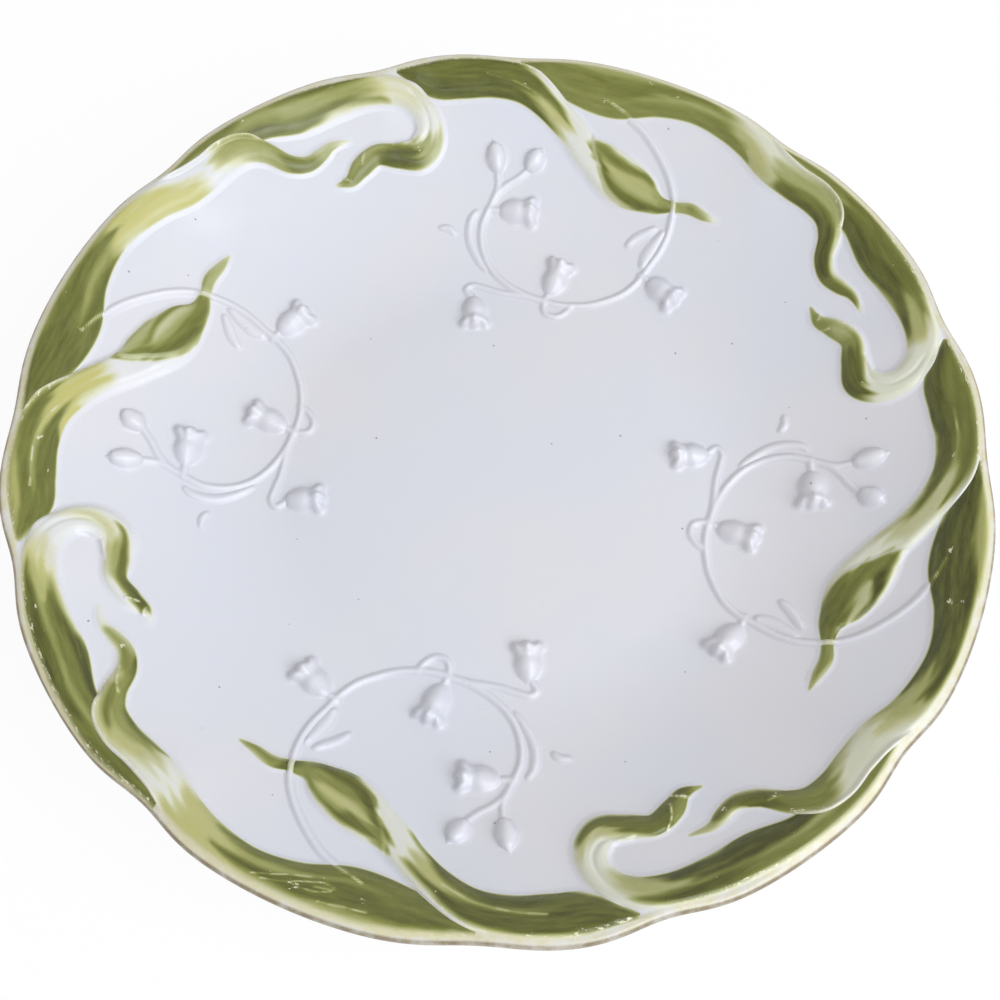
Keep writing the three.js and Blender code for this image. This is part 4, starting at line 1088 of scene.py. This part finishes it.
    def painted(self, resting, spilled, reach):
        """Where paint lies at all: within the pointed leaf, and thinner on the lip."""
        taper = np.minimum(1, (self.from_tip / TIP_POINT) ** TIP_TAPER)
        pointed = smoothstep(-0.4, 0.05, self.half * taper - np.abs(self.offset))
        within = np.maximum(np.maximum(pointed, resting), spilled)
        # The paint left on the lip is painted shade, darker on the sides away from the lamp
        thin = LIP_PAINT_SHADE[self.repeat]
        kept_with_lip_shade = thin + (1 - thin) * smoothstep(0.7, -1, reach)
        return within * smoothstep(0, 1.2, self.from_tip) * kept_with_lip_shade

    def worn(self):
        """Where paint chips off: along the rim and in the worn patches."""
        first, last = self.kind.rim_stations
        by_rim = self.rim_side & (self.station > first) & (self.station < last)
        worn = np.where(by_rim, hump(self.edge - CHIP_INSET, CHIP_WIDTH), 0)
        for station, place, breadth in self.kind.wear[self.repeat]:
            x, y = self.route.at(station, place)
            worn = np.maximum(worn, hump(np.hypot(self.x - x, self.y - y), breadth))
        return worn

    def build(self, below, above):
        """The leaf's mesh, with its paint as attributes."""
        self.add_lines()
        if self.kind.fold:
            self.add_fold()
        resting = self.lap(below, above)
        spilled, reach = self.meet_rim()
        green = self.brushed(self.kind.strokes[self.repeat], self.kind.tints[self.repeat])
        yellow = self.brushed(self.kind.washes[self.repeat], 0)
        painted = self.painted(resting, spilled, reach)
        apart = np.full_like(self.along, LAY_APART * self.seed)
        attributes = {
            "green": green * (1 - self.bare) * painted,
            "yellow": np.maximum(yellow * (1 - self.bare), CREAM_YELLOW * self.cream) * painted,
            "worn": self.worn(),
            "lay": np.stack([self.along, self.offset, apart], axis=-1),
            "reach": reach,
        }
        return relief_mesh(f"{self.node}_painted", self.x, self.y, self.height, attributes)


def bell_height(along, place, arch, swell):
    """Height of a bell by shares of its length and breadth: a necked cup with a lobed mouth."""
    lobe = np.abs(np.cos(BELL_LOBES / 2 * np.pi * place)) ** 0.8
    mouth = BELL_MOUTH + BELL_LOBE * lobe
    end = smoothstep(mouth + 0.1, mouth - 0.05, along)
    flute = (BELL_FLUTE * lobe - BELL_CRIMP * (1 - lobe)) * smoothstep(0.62, 0.95, along)
    shoulder = np.interp(along, *swell.T) ** 0.5
    wedge = 0.55 + 0.45 * smoothstep(0, 0.85, along)
    neck = 1 - BELL_NECK_DEPTH * hump(along - BELL_NECK, BELL_NECK_WIDTH)
    return arch * end * (BELL_HEIGHT * shoulder * wedge * neck + flute)


def bud_height(along, place, arch, swell):
    """Height of a bud by shares of its length and breadth: closed, with a cleft towards its end."""
    end = smoothstep(1.12, 0.82, along)
    cleft = BUD_CLEFT * hump(place, BUD_CLEFT_WIDTH) * smoothstep(0.35, 0.9, along)
    fullness = np.interp(along, swell[:, 0], 0.35 + 0.65 * swell[:, 1])
    return end * (BUD_HEIGHT * arch * fullness - cleft)


def bell_mesh(name, crown, mouth, bud, repeat):
    """A half-round bell or bud that lies on the plate from its crown to its mouth."""
    profile, width, tall, form = (
        (BUD_PROFILE, BUD_WIDTH, BUD_HEIGHT, bud_height) if bud
        else (BELL_PROFILE, BELL_WIDTH, BELL_HEIGHT, bell_height)
    )
    start = np.array(spot(*crown, repeat))
    axis = np.array(spot(*mouth, repeat)) - start
    side = np.array([-axis[1], axis[0]]) / np.hypot(*axis)
    swell = curve(profile, 200)
    rows = np.linspace(BELL_START, BELL_STOP, BELL_ROWS)
    columns = columns_with_skirt(BELL_COLUMNS, BELL_SKIRT_COLUMNS)
    along, column = np.meshgrid(rows, columns, indexing="ij")
    place = np.clip(column, -1, 1)
    over = np.sign(column) * np.maximum(0, np.abs(column) - 1) * BELL_SKIRT
    offset = place * (width / 2) * np.interp(np.maximum(along, 0), *swell.T) + over
    x = start[0] + axis[0] * along + side[0] * offset
    y = start[1] + axis[1] * along + side[1] * offset
    arch = np.maximum(0, 1 - place**2) ** BELL_ARCH * smoothstep(-0.1, 0.12, along)
    height = np.where(np.abs(column) > 1, 0, form(along, place, arch, swell))
    height = edge_sunk(softened(np.maximum(height, 0), BELL_SOFTENING))
    return relief_mesh(name, x, y, height, {"crest": np.clip(height / tall, 0, 1)})


def bract_mesh(name, stations, repeat):
    """A small leaflet beside the stem, pointed at both ends."""
    route = Route(stations, repeat, BRACT_STEP)
    offset = np.linspace(-1, 1, BRACT_COLUMNS) * (route.half[:, None] + BRACT_SKIRT)
    x, y = route.beside(offset)
    half = np.broadcast_to(route.half[:, None], offset.shape)
    share = np.minimum(1, half / BRACT_FULL_WIDTH)
    rise = smoothstep(-BRACT_SKIRT, np.maximum(half, 0.5), half - np.abs(offset))
    ends = smoothstep(0, BRACT_TIP, route.along) * smoothstep(0, BRACT_TIP, route.along[-1] - route.along)
    height = edge_sunk(BRACT_HEIGHT * share * rise * ends[:, None])
    return relief_mesh(name, x, y, height, {"crest": np.clip(height / BRACT_HEIGHT, 0, 1)})


def near_route(route, grid_x, grid_y):
    """Marks the points of a grid that lie in squares round every fourth point of a route."""
    close = np.zeros((len(grid_x), len(grid_y)), bool)
    reach = int(CORD_LOOK / CORD_STEP)
    for x, y in zip(route.x[::4], route.y[::4]):
        i, j = int((x - grid_x[0]) / CORD_STEP), int((y - grid_y[0]) / CORD_STEP)
        close[max(0, i - reach):i + reach + 1, max(0, j - reach):j + reach + 1] = True
    return close


def cord_heights(cords, grid_x, grid_y):
    """Height of stem and stalks over a grid, flowing into one another, and the way to the nearest."""
    x, y = np.meshgrid(grid_x, grid_y, indexing="ij")
    nearest = np.full(x.shape, FAR)
    rises = []
    for cord, tall in cords:
        half = cord.half[0]
        close = near_route(cord, grid_x, grid_y)
        away = np.full(x.shape, FAR)
        away[close] = np.abs(cord.nearest(x[close], y[close])[1])
        rises.append(tall * smoothstep(half + CORD_SKIRT, 0, away))
        nearest = np.minimum(nearest, away - half)
    highest = np.max(rises, axis=0)
    summed = np.sum([np.exp(CORD_BLEND * rise) for rise in rises], axis=0)
    blend = np.log(summed - (len(rises) - 1)) / CORD_BLEND
    top = (1 - CORD_BLEND_SHARE) * highest + CORD_BLEND_SHARE * blend
    return softened(top, CORD_SOFTENING), nearest


def joined_cells(cell):
    """Fills cells that would touch at a corner only."""
    cell = cell.copy()
    for _ in range(6):
        a, b = cell[:-1, :-1], cell[1:, :-1]
        c, d = cell[:-1, 1:], cell[1:, 1:]
        slant = a & d & ~b & ~c
        other = b & c & ~a & ~d
        if not slant.any() and not other.any():
            break
        cell[1:, :-1] |= slant
        cell[:-1, :-1] |= other
    return cell


def skin_mesh(name, x, y, height, kept, attributes):
    """A closed skin over the cells of a grid whose four corners are kept."""
    cell = joined_cells(kept[:-1, :-1] & kept[1:, :-1] & kept[1:, 1:] & kept[:-1, 1:])
    used = np.zeros(x.shape, bool)
    for di in (0, 1):
        for dj in (0, 1):
            used[di:di + cell.shape[0], dj:dj + cell.shape[1]] |= cell
    count = int(used.sum())
    number = np.full(x.shape, -1)
    number[used] = np.arange(count)
    i, j = np.nonzero(cell)
    quad = np.stack([number[i, j], number[i + 1, j], number[i + 1, j + 1], number[i, j + 1]], axis=-1)
    edges = np.concatenate([quad[:, [k, (k + 1) % 4]] for k in range(4)])
    there = edges[:, 0] * count + edges[:, 1]
    back = edges[:, 1] * count + edges[:, 0]
    rim = edges[~np.isin(there, back)]
    faces = quad.tolist() + (quad[:, ::-1] + count).tolist()
    faces += np.stack([rim[:, 1], rim[:, 0], rim[:, 0] + count, rim[:, 1] + count], axis=-1).tolist()
    border = np.zeros(2 * count, bool)
    border[rim.ravel()] = True
    border[count:] = True
    surface = ground(x, y)
    upper = np.stack([x[used], y[used], (surface + height)[used]], axis=-1)
    lower = np.stack([x[used], y[used], (surface - BURIED)[used]], axis=-1)
    doubled = {key: np.tile(value[used], 2)[:, None] for key, value in attributes.items()}
    return make_object(name, np.vstack([upper, lower]), faces, border, doubled)


def stem_mesh(name, repeat, leaf):
    """Stem and stalks as one skin, which is carried over a leaf."""
    stem = Route([(*s, STEM_WIDTH / 2) for s in STEM_ROUTE], repeat, CORD_ROUTE_STEP)
    cords = [(stem, STEM_HEIGHT)]
    for stations in STALK_ROUTES:
        stalk = Route([(*s, STALK_WIDTH / 2) for s in stations], repeat, CORD_ROUTE_STEP)
        cords.append((stalk, STALK_HEIGHT))
    every = np.concatenate([(cord.x, cord.y) for cord, _ in cords], axis=1)
    low, high = every.min(axis=1) - CORD_MARGIN, every.max(axis=1) + CORD_MARGIN
    grid_x, grid_y = (np.arange(start, stop, CORD_STEP) for start, stop in zip(low, high))
    top, nearest = cord_heights(cords, grid_x, grid_y)
    x, y = np.meshgrid(grid_x, grid_y, indexing="ij")
    lift, _ = leaf_field(leaf.route, x, y)
    dip = CORD_DIP * smoothstep(0.05, 0.4, lift) * smoothstep(0.55, 0.15, top)
    height = top + lift - SUNK * smoothstep(0.3, 0, top) - dip
    kept = nearest < CORD_SKIRT + 3 * CORD_STEP
    attributes = {"crest": np.clip(top / STEM_HEIGHT, 0, 1), "tinge": smoothstep(0.1, 0.5, lift)}
    return skin_mesh(name, x, y, height, kept, attributes)


def linear(red, green, blue):
    """A colour given in screen values from 0 to 255."""
    def one(value):
        value = value / 255
        return value / 12.92 if value <= 0.04045 else ((value + 0.055) / 1.055) ** 2.4
    return (one(red), one(green), one(blue), 1)


GLAZE_COOL = linear(213, 215, 224)
GLAZE_WARM = linear(217, 216, 222)
SPECK = linear(96, 90, 86)
# Grey at the foot of the relief: glaze that pools there, and painted shade in that crease
POOL_AND_SHADE = linear(190, 187, 200)
TINGE = linear(196, 199, 158)
RIM_CREAM = linear(207, 201, 167)
RIM_LINE = linear(132, 119, 97)
YELLOW = linear(187, 182, 106)
WORN = linear(222, 219, 192)
BISCUIT_DARK = linear(214, 207, 192)
BISCUIT_LIGHT = linear(228, 222, 208)
BISCUIT_STAIN = linear(186, 174, 152)
FLOOR_DARK = linear(244, 244, 245)
FLOOR_LIGHT = linear(249, 249, 249)
# Colour of the green paint by its strength
PAINT = [
    (0.0, (216, 217, 223)), (0.08, (213, 214, 196)), (0.2, (192, 193, 158)), (0.33, (172, 174, 128)),
    (0.5, (149, 153, 94)), (0.66, (126, 130, 66)), (0.8, (106, 110, 48)), (0.92, (86, 90, 34)),
    (1.0, (68, 70, 22)),
]
GLAZE_IOR = 1.5
# Height on the foot ring, in metres, where the glaze starts and where it is full
GLAZE_START = 0.0010
GLAZE_FULL = 0.0014


class Nodes:
    """Short calls for building a material's node tree."""

    def __init__(self, name):
        self.material = bpy.data.materials.new(name)
        self.material.use_nodes = True
        self.tree = self.material.node_tree
        self.shader = self.tree.nodes["Principled BSDF"]

    def add(self, kind, settings=None, **inputs):
        """A node with its settings, and with its sockets fed by name."""
        node = self.tree.nodes.new(kind)
        for key, value in (settings or {}).items():
            setattr(node, key, value)
        for key, value in inputs.items():
            self.feed(node, key, value)
        return node

    def feed(self, node, socket, value):
        """Links an output to a socket, or sets the socket to a constant."""
        target = node.inputs[socket]
        if isinstance(value, bpy.types.NodeSocket):
            self.tree.links.new(value, target)
        else:
            target.default_value = value

    def math(self, operation, first, second):
        node = self.add("ShaderNodeMath", {"operation": operation})
        self.feed(node, 0, first)
        self.feed(node, 1, second)
        return node.outputs[0]

    def times(self, first, second):
        return self.math("MULTIPLY", first, second)

    def band(self, value, low, high, start=0.0, end=1.0):
        """A smooth step from start to end as a value goes from low to high."""
        node = self.add("ShaderNodeMapRange", {"interpolation_type": "SMOOTHSTEP"}, Value=value)
        limits = {"From Min": low, "From Max": high, "To Min": start, "To Max": end}
        for socket, limit in limits.items():
            self.feed(node, socket, limit)
        return node.outputs[0]

    def mix(self, factor, first, second):
        """A mix of two colours, whose sockets are known by number."""
        node = self.add("ShaderNodeMix", {"data_type": "RGBA"})
        for socket, value in ((0, factor), (6, first), (7, second)):
            self.feed(node, socket, value)
        return node.outputs[2]

    def noise(self, vector, scale, detail=3.0, roughness=0.5):
        settings = {"Vector": vector, "Scale": scale, "Detail": detail, "Roughness": roughness}
        return self.add("ShaderNodeTexNoise", None, **settings).outputs["Fac"]

    def stretched(self, vector, scale):
        return self.add("ShaderNodeMapping", None, Vector=vector, Scale=scale).outputs["Vector"]

    def attribute(self, name, output="Fac"):
        return self.add("ShaderNodeAttribute", {"attribute_name": name}).outputs[output]

    def place(self):
        """The place on the object, in metres."""
        return self.add("ShaderNodeTexCoord").outputs["Object"]

    def bump(self, height, distance, strength):
        node = self.add("ShaderNodeBump", None, Height=height, Strength=strength, Distance=distance)
        return node.outputs["Normal"]

    def glaze_colour(self):
        """Bluish white glaze with a soft cloudiness and a few dark pinholes."""
        place = self.place()
        cloud = self.band(self.noise(place, scale=22.0, detail=4.0, roughness=0.55), 0.35, 0.68)
        white = self.mix(cloud, GLAZE_COOL, GLAZE_WARM)
        kind = {"feature": "F1", "voronoi_dimensions": "2D"}
        cells = self.add("ShaderNodeTexVoronoi", kind, Vector=place, Scale=70.0)
        chance = self.add("ShaderNodeSeparateColor", None, Color=cells.outputs["Color"]).outputs[0]
        size = self.band(chance, 0.5, 1.0, 0.0, 0.018)
        pinhole = self.math("LESS_THAN", cells.outputs["Distance"], size)
        return self.mix(self.times(pinhole, 0.6), white, SPECK)

    def glaze_normal(self):
        """Slight waves in the glaze."""
        wave = self.noise(self.place(), scale=70.0, detail=2.0)
        return self.bump(wave, distance=0.00025, strength=0.35)

    def worn_rim(self, colour):
        """Cream towards the lip, where the glaze is thin and worn, and a brown line over it."""
        reach = self.attribute("reach")
        worn = self.noise(self.place(), scale=210.0, detail=4.0, roughness=0.65)
        over = self.band(reach, 3.0, 2.4)
        cream = self.times(self.band(reach, -1.1, 0.5), self.band(worn, 0.35, 0.65, 0.4, 1.0))
        colour = self.mix(self.times(cream, over), colour, RIM_CREAM)
        line = self.times(self.band(reach, 0.9, 1.6), self.band(worn, 0.3, 0.6, 0.5, 1.0))
        return self.mix(self.times(line, over), colour, RIM_LINE)

    def finish_glaze(self, colour, normal, smooth, dull):
        """Gives the shader its colour and normal, and a gloss between smooth and dull."""
        gloss = self.noise(self.place(), scale=130.0, roughness=0.6)
        self.feed(self.shader, "Base Color", colour)
        self.feed(self.shader, "Normal", normal)
        self.feed(self.shader, "Roughness", self.band(gloss, 0.35, 0.65, smooth, dull))
        self.feed(self.shader, "IOR", GLAZE_IOR)
        return self.material


def white_glaze():
    """The body's glaze, worn along the rim."""
    nodes = Nodes("white_glaze")
    colour = nodes.worn_rim(nodes.glaze_colour())
    return nodes.finish_glaze(colour, nodes.glaze_normal(), smooth=0.18, dull=0.26)


def white_relief():
    """White glaze, grey round the crests where glaze pools and as painted shade, tinged where it lies on
    paint.
    """
    nodes = Nodes("white_relief")
    crest = nodes.attribute("crest")
    # Grey band at the foot of the relief: glaze that pools there and painted shade in the crease
    pooled_and_shaded = nodes.times(nodes.band(crest, 0.0, 0.15), nodes.band(crest, 0.8, 0.25, 0.0, 0.34))
    colour = nodes.mix(pooled_and_shaded, nodes.glaze_colour(), POOL_AND_SHADE)
    colour = nodes.mix(nodes.times(nodes.attribute("tinge"), 0.8), colour, TINGE)
    return nodes.finish_glaze(colour, nodes.glaze_normal(), smooth=0.26, dull=0.36)


def painted_leaf():
    """Green over yellow in brush streaks, chipped where it is worn."""
    nodes = Nodes("painted_leaf")
    lay = nodes.attribute("lay", "Vector")
    streak = nodes.noise(nodes.stretched(lay, (0.12, 0.9, 1.0)), scale=1.0)
    fine = nodes.noise(nodes.stretched(lay, (0.5, 3.0, 1.0)), scale=1.0, roughness=0.6)
    green = nodes.attribute("green")
    broad_swing = nodes.times(nodes.math("SUBTRACT", streak, 0.5), 0.42)
    fine_swing = nodes.times(nodes.math("SUBTRACT", fine, 0.5), 0.15)
    depth = nodes.times(green, nodes.math("ADD", 1.0, nodes.math("ADD", broad_swing, fine_swing)))
    ramp = nodes.add("ShaderNodeValToRGB", None, Fac=depth)
    stops = ramp.color_ramp.elements
    while len(stops) < len(PAINT):
        stops.new(1.0)
    for stop, (strength, colour) in zip(stops, PAINT):
        stop.position = strength
        stop.color = linear(*colour)
    colour = nodes.mix(nodes.band(green, 0.0, 0.06), nodes.glaze_colour(), ramp.outputs["Color"])
    yellow = nodes.times(nodes.attribute("yellow"), nodes.band(depth, 0.75, 0.2))
    colour = nodes.mix(nodes.times(yellow, nodes.band(streak, 0.25, 0.6, 0.6, 1.0)), colour, YELLOW)
    worn = nodes.attribute("worn")
    chip = nodes.noise(nodes.stretched(lay, (0.7, 1.7, 1.0)), scale=1.0, detail=4.0, roughness=0.65)
    chipped = nodes.band(nodes.math("ADD", chip, nodes.times(worn, 0.16)), 0.68, 0.74, 0.0, 0.85)
    colour = nodes.mix(nodes.times(chipped, nodes.band(worn, 0.1, 0.5)), colour, WORN)
    normal = nodes.bump(streak, distance=0.0001, strength=0.2)
    return nodes.finish_glaze(nodes.worn_rim(colour), normal, smooth=0.26, dull=0.38)


def bare_foot():
    """Bare biscuit on the sole, and glaze from a little above it."""
    nodes = Nodes("bare_foot")
    place = nodes.place()
    grain = nodes.noise(place, scale=900.0, roughness=0.6)
    stain = nodes.noise(place, scale=60.0, detail=4.0, roughness=0.6)
    height = nodes.add("ShaderNodeSeparateXYZ", None, Vector=place).outputs["Z"]
    biscuit = nodes.mix(nodes.band(grain, 0.3, 0.7), BISCUIT_DARK, BISCUIT_LIGHT)
    biscuit = nodes.mix(nodes.band(stain, 0.5, 0.8, 0.0, 0.5), biscuit, BISCUIT_STAIN)
    colour = nodes.mix(nodes.band(height, GLAZE_START, GLAZE_FULL), biscuit, nodes.glaze_colour())
    nodes.feed(nodes.shader, "Base Color", colour)
    nodes.feed(nodes.shader, "Roughness", nodes.band(height, GLAZE_START, GLAZE_FULL, 0.8, 0.16))
    nodes.feed(nodes.shader, "Normal", nodes.bump(grain, distance=0.00008, strength=0.5))
    return nodes.material


def floor_white():
    """White to the camera, with a share of real shading that keeps the plate's shadow."""
    nodes = Nodes("floor_white")
    grain = nodes.noise(nodes.place(), scale=3.0)
    nodes.feed(nodes.shader, "Base Color", nodes.mix(grain, FLOOR_DARK, FLOOR_LIGHT))
    nodes.feed(nodes.shader, "Roughness", 0.9)
    path = nodes.add("ShaderNodeLightPath").outputs
    mirrored = nodes.math("MAXIMUM", path["Is Glossy Ray"], path["Is Transmission Ray"])
    seen = nodes.math("MAXIMUM", path["Is Camera Ray"], mirrored)
    glow = nodes.add("ShaderNodeEmission", None, Color=(1, 1, 1, 1), Strength=1.0)
    blend = nodes.add("ShaderNodeMixShader", None, Fac=nodes.times(seen, 0.92))
    nodes.feed(blend, 1, nodes.shader.outputs[0])
    nodes.feed(blend, 2, glow.outputs[0])
    nodes.feed(nodes.tree.nodes["Material Output"], "Surface", blend.outputs[0])
    return nodes.material


def dress(piece, node, material):
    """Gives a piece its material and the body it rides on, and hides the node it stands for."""
    piece.data.materials.append(material)
    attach(piece, "root")
    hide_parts(node)


def dress_sprig(repeat, blade, relief):
    """The stem with its stalks, bells, buds and bracts of one repeat."""
    sprig = f"sprig_{repeat + 1}"
    dress(stem_mesh(f"{sprig}_stem_glazed", repeat, blade), f"{sprig}_stem", relief)
    for index, (crown, mouth, bud) in enumerate(BELLS):
        node = f"{sprig}_{'bud' if bud else 'bell'}_{index + 1}"
        dress(bell_mesh(f"{node}_glazed", crown, mouth, bud, repeat), node, relief)
    for index, stations in enumerate(BRACTS):
        node = f"{sprig}_bract_{index + 1}"
        dress(bract_mesh(f"{node}_glazed", stations, repeat), node, relief)


def add_camera():
    """The photograph's camera, fitted to the ornament's repeats and the rim's outline."""
    sensor_width = 36
    focal_share = 1.3776
    tilt, roll = math.radians(-24.453), math.radians(1.507)
    well_from_camera = Vector((-0.16, 5.25, -319.65))
    turn = (Matrix.Rotation(tilt, 3, "X") @ Matrix.Rotation(roll, 3, "Y")).transposed()
    place = turn @ -well_from_camera + Vector((0, 0, WELL_FLOOR))
    lens = bpy.data.cameras.new("photo_camera")
    lens.sensor_width = sensor_width
    lens.lens = sensor_width * focal_share
    lens.clip_start = 0.01
    camera = add_to_scene("photo_camera", lens)
    camera.matrix_world = Matrix.Translation(place * MM) @ turn.to_4x4()
    bpy.context.scene.camera = camera


def add_floor():
    """A white floor that is wide enough to fill the view."""
    half = 3
    corners = [(-half, -half, 0), (half, -half, 0), (half, half, 0), (-half, half, 0)]
    mesh = bpy.data.meshes.new("floor")
    mesh.from_pydata(corners, [], [(0, 1, 2, 3)])
    mesh.materials.append(floor_white())
    return add_to_scene("floor", mesh)


def add_world():
    """A warm white dome that is bright at the horizon and dimmer overhead."""
    world = bpy.data.worlds.new("studio")
    world.use_nodes = True
    nodes, links = world.node_tree.nodes, world.node_tree.links
    background = nodes["Background"].inputs
    background["Color"].default_value = (1.0, 0.985, 0.96, 1)
    direction = nodes.new("ShaderNodeTexCoord")
    split = nodes.new("ShaderNodeSeparateXYZ")
    dome = nodes.new("ShaderNodeMapRange")
    dome.inputs["To Min"].default_value = 0.96
    dome.inputs["To Max"].default_value = 0.45
    links.new(direction.outputs["Generated"], split.inputs["Vector"])
    links.new(split.outputs["Z"], dome.inputs["Value"])
    links.new(dome.outputs["Result"], background["Strength"])
    bpy.context.scene.world = world


def add_softbox(name, place, aim, width, height, power, colour):
    """A lit rectangle at a place, turned to what it aims at."""
    lamp = bpy.data.lights.new(name, "AREA")
    lamp.shape = "RECTANGLE"
    lamp.size, lamp.size_y = width, height
    lamp.energy = power
    lamp.color = colour
    made = add_to_scene(name, lamp)
    made.location = place
    made.rotation_euler = (Vector(aim) - Vector(place)).to_track_quat("-Z", "Y").to_euler()


glaze, relief, paint, foot = white_glaze(), white_relief(), painted_leaf(), bare_foot()

profile = body_profile()
body = revolved("plate_body_glazed", profile, {"reach": rim_reach(profile)})
dress(body, "plate_body", glaze)
dress(revolved("foot_ring_ground", foot_profile(), {}), "foot_ring", foot)

# Each leaf lies over the one before it in the wreath and under the one after it
wreath = [Leaf(kind, repeat) for repeat in range(REPEATS) for kind in (HOOK, RIBBON, BLADE)]
for index, leaf in enumerate(wreath):
    below, above = wreath[index - 1], wreath[(index + 1) % len(wreath)]
    dress(leaf.build(below, above), leaf.node, paint)
    if leaf.kind is BLADE:
        dress_sprig(leaf.repeat, leaf, relief)

add_camera()
floor = add_floor()
add_world()
add_softbox(
    "key_softbox", place=(0.62, -0.42, 0.75), aim=(0, 0, 0.02), width=0.8, height=0.8,
    power=9.06, colour=(0.913, 0.956, 1.0),
)
bpy.context.scene.view_settings.view_transform = "Standard"
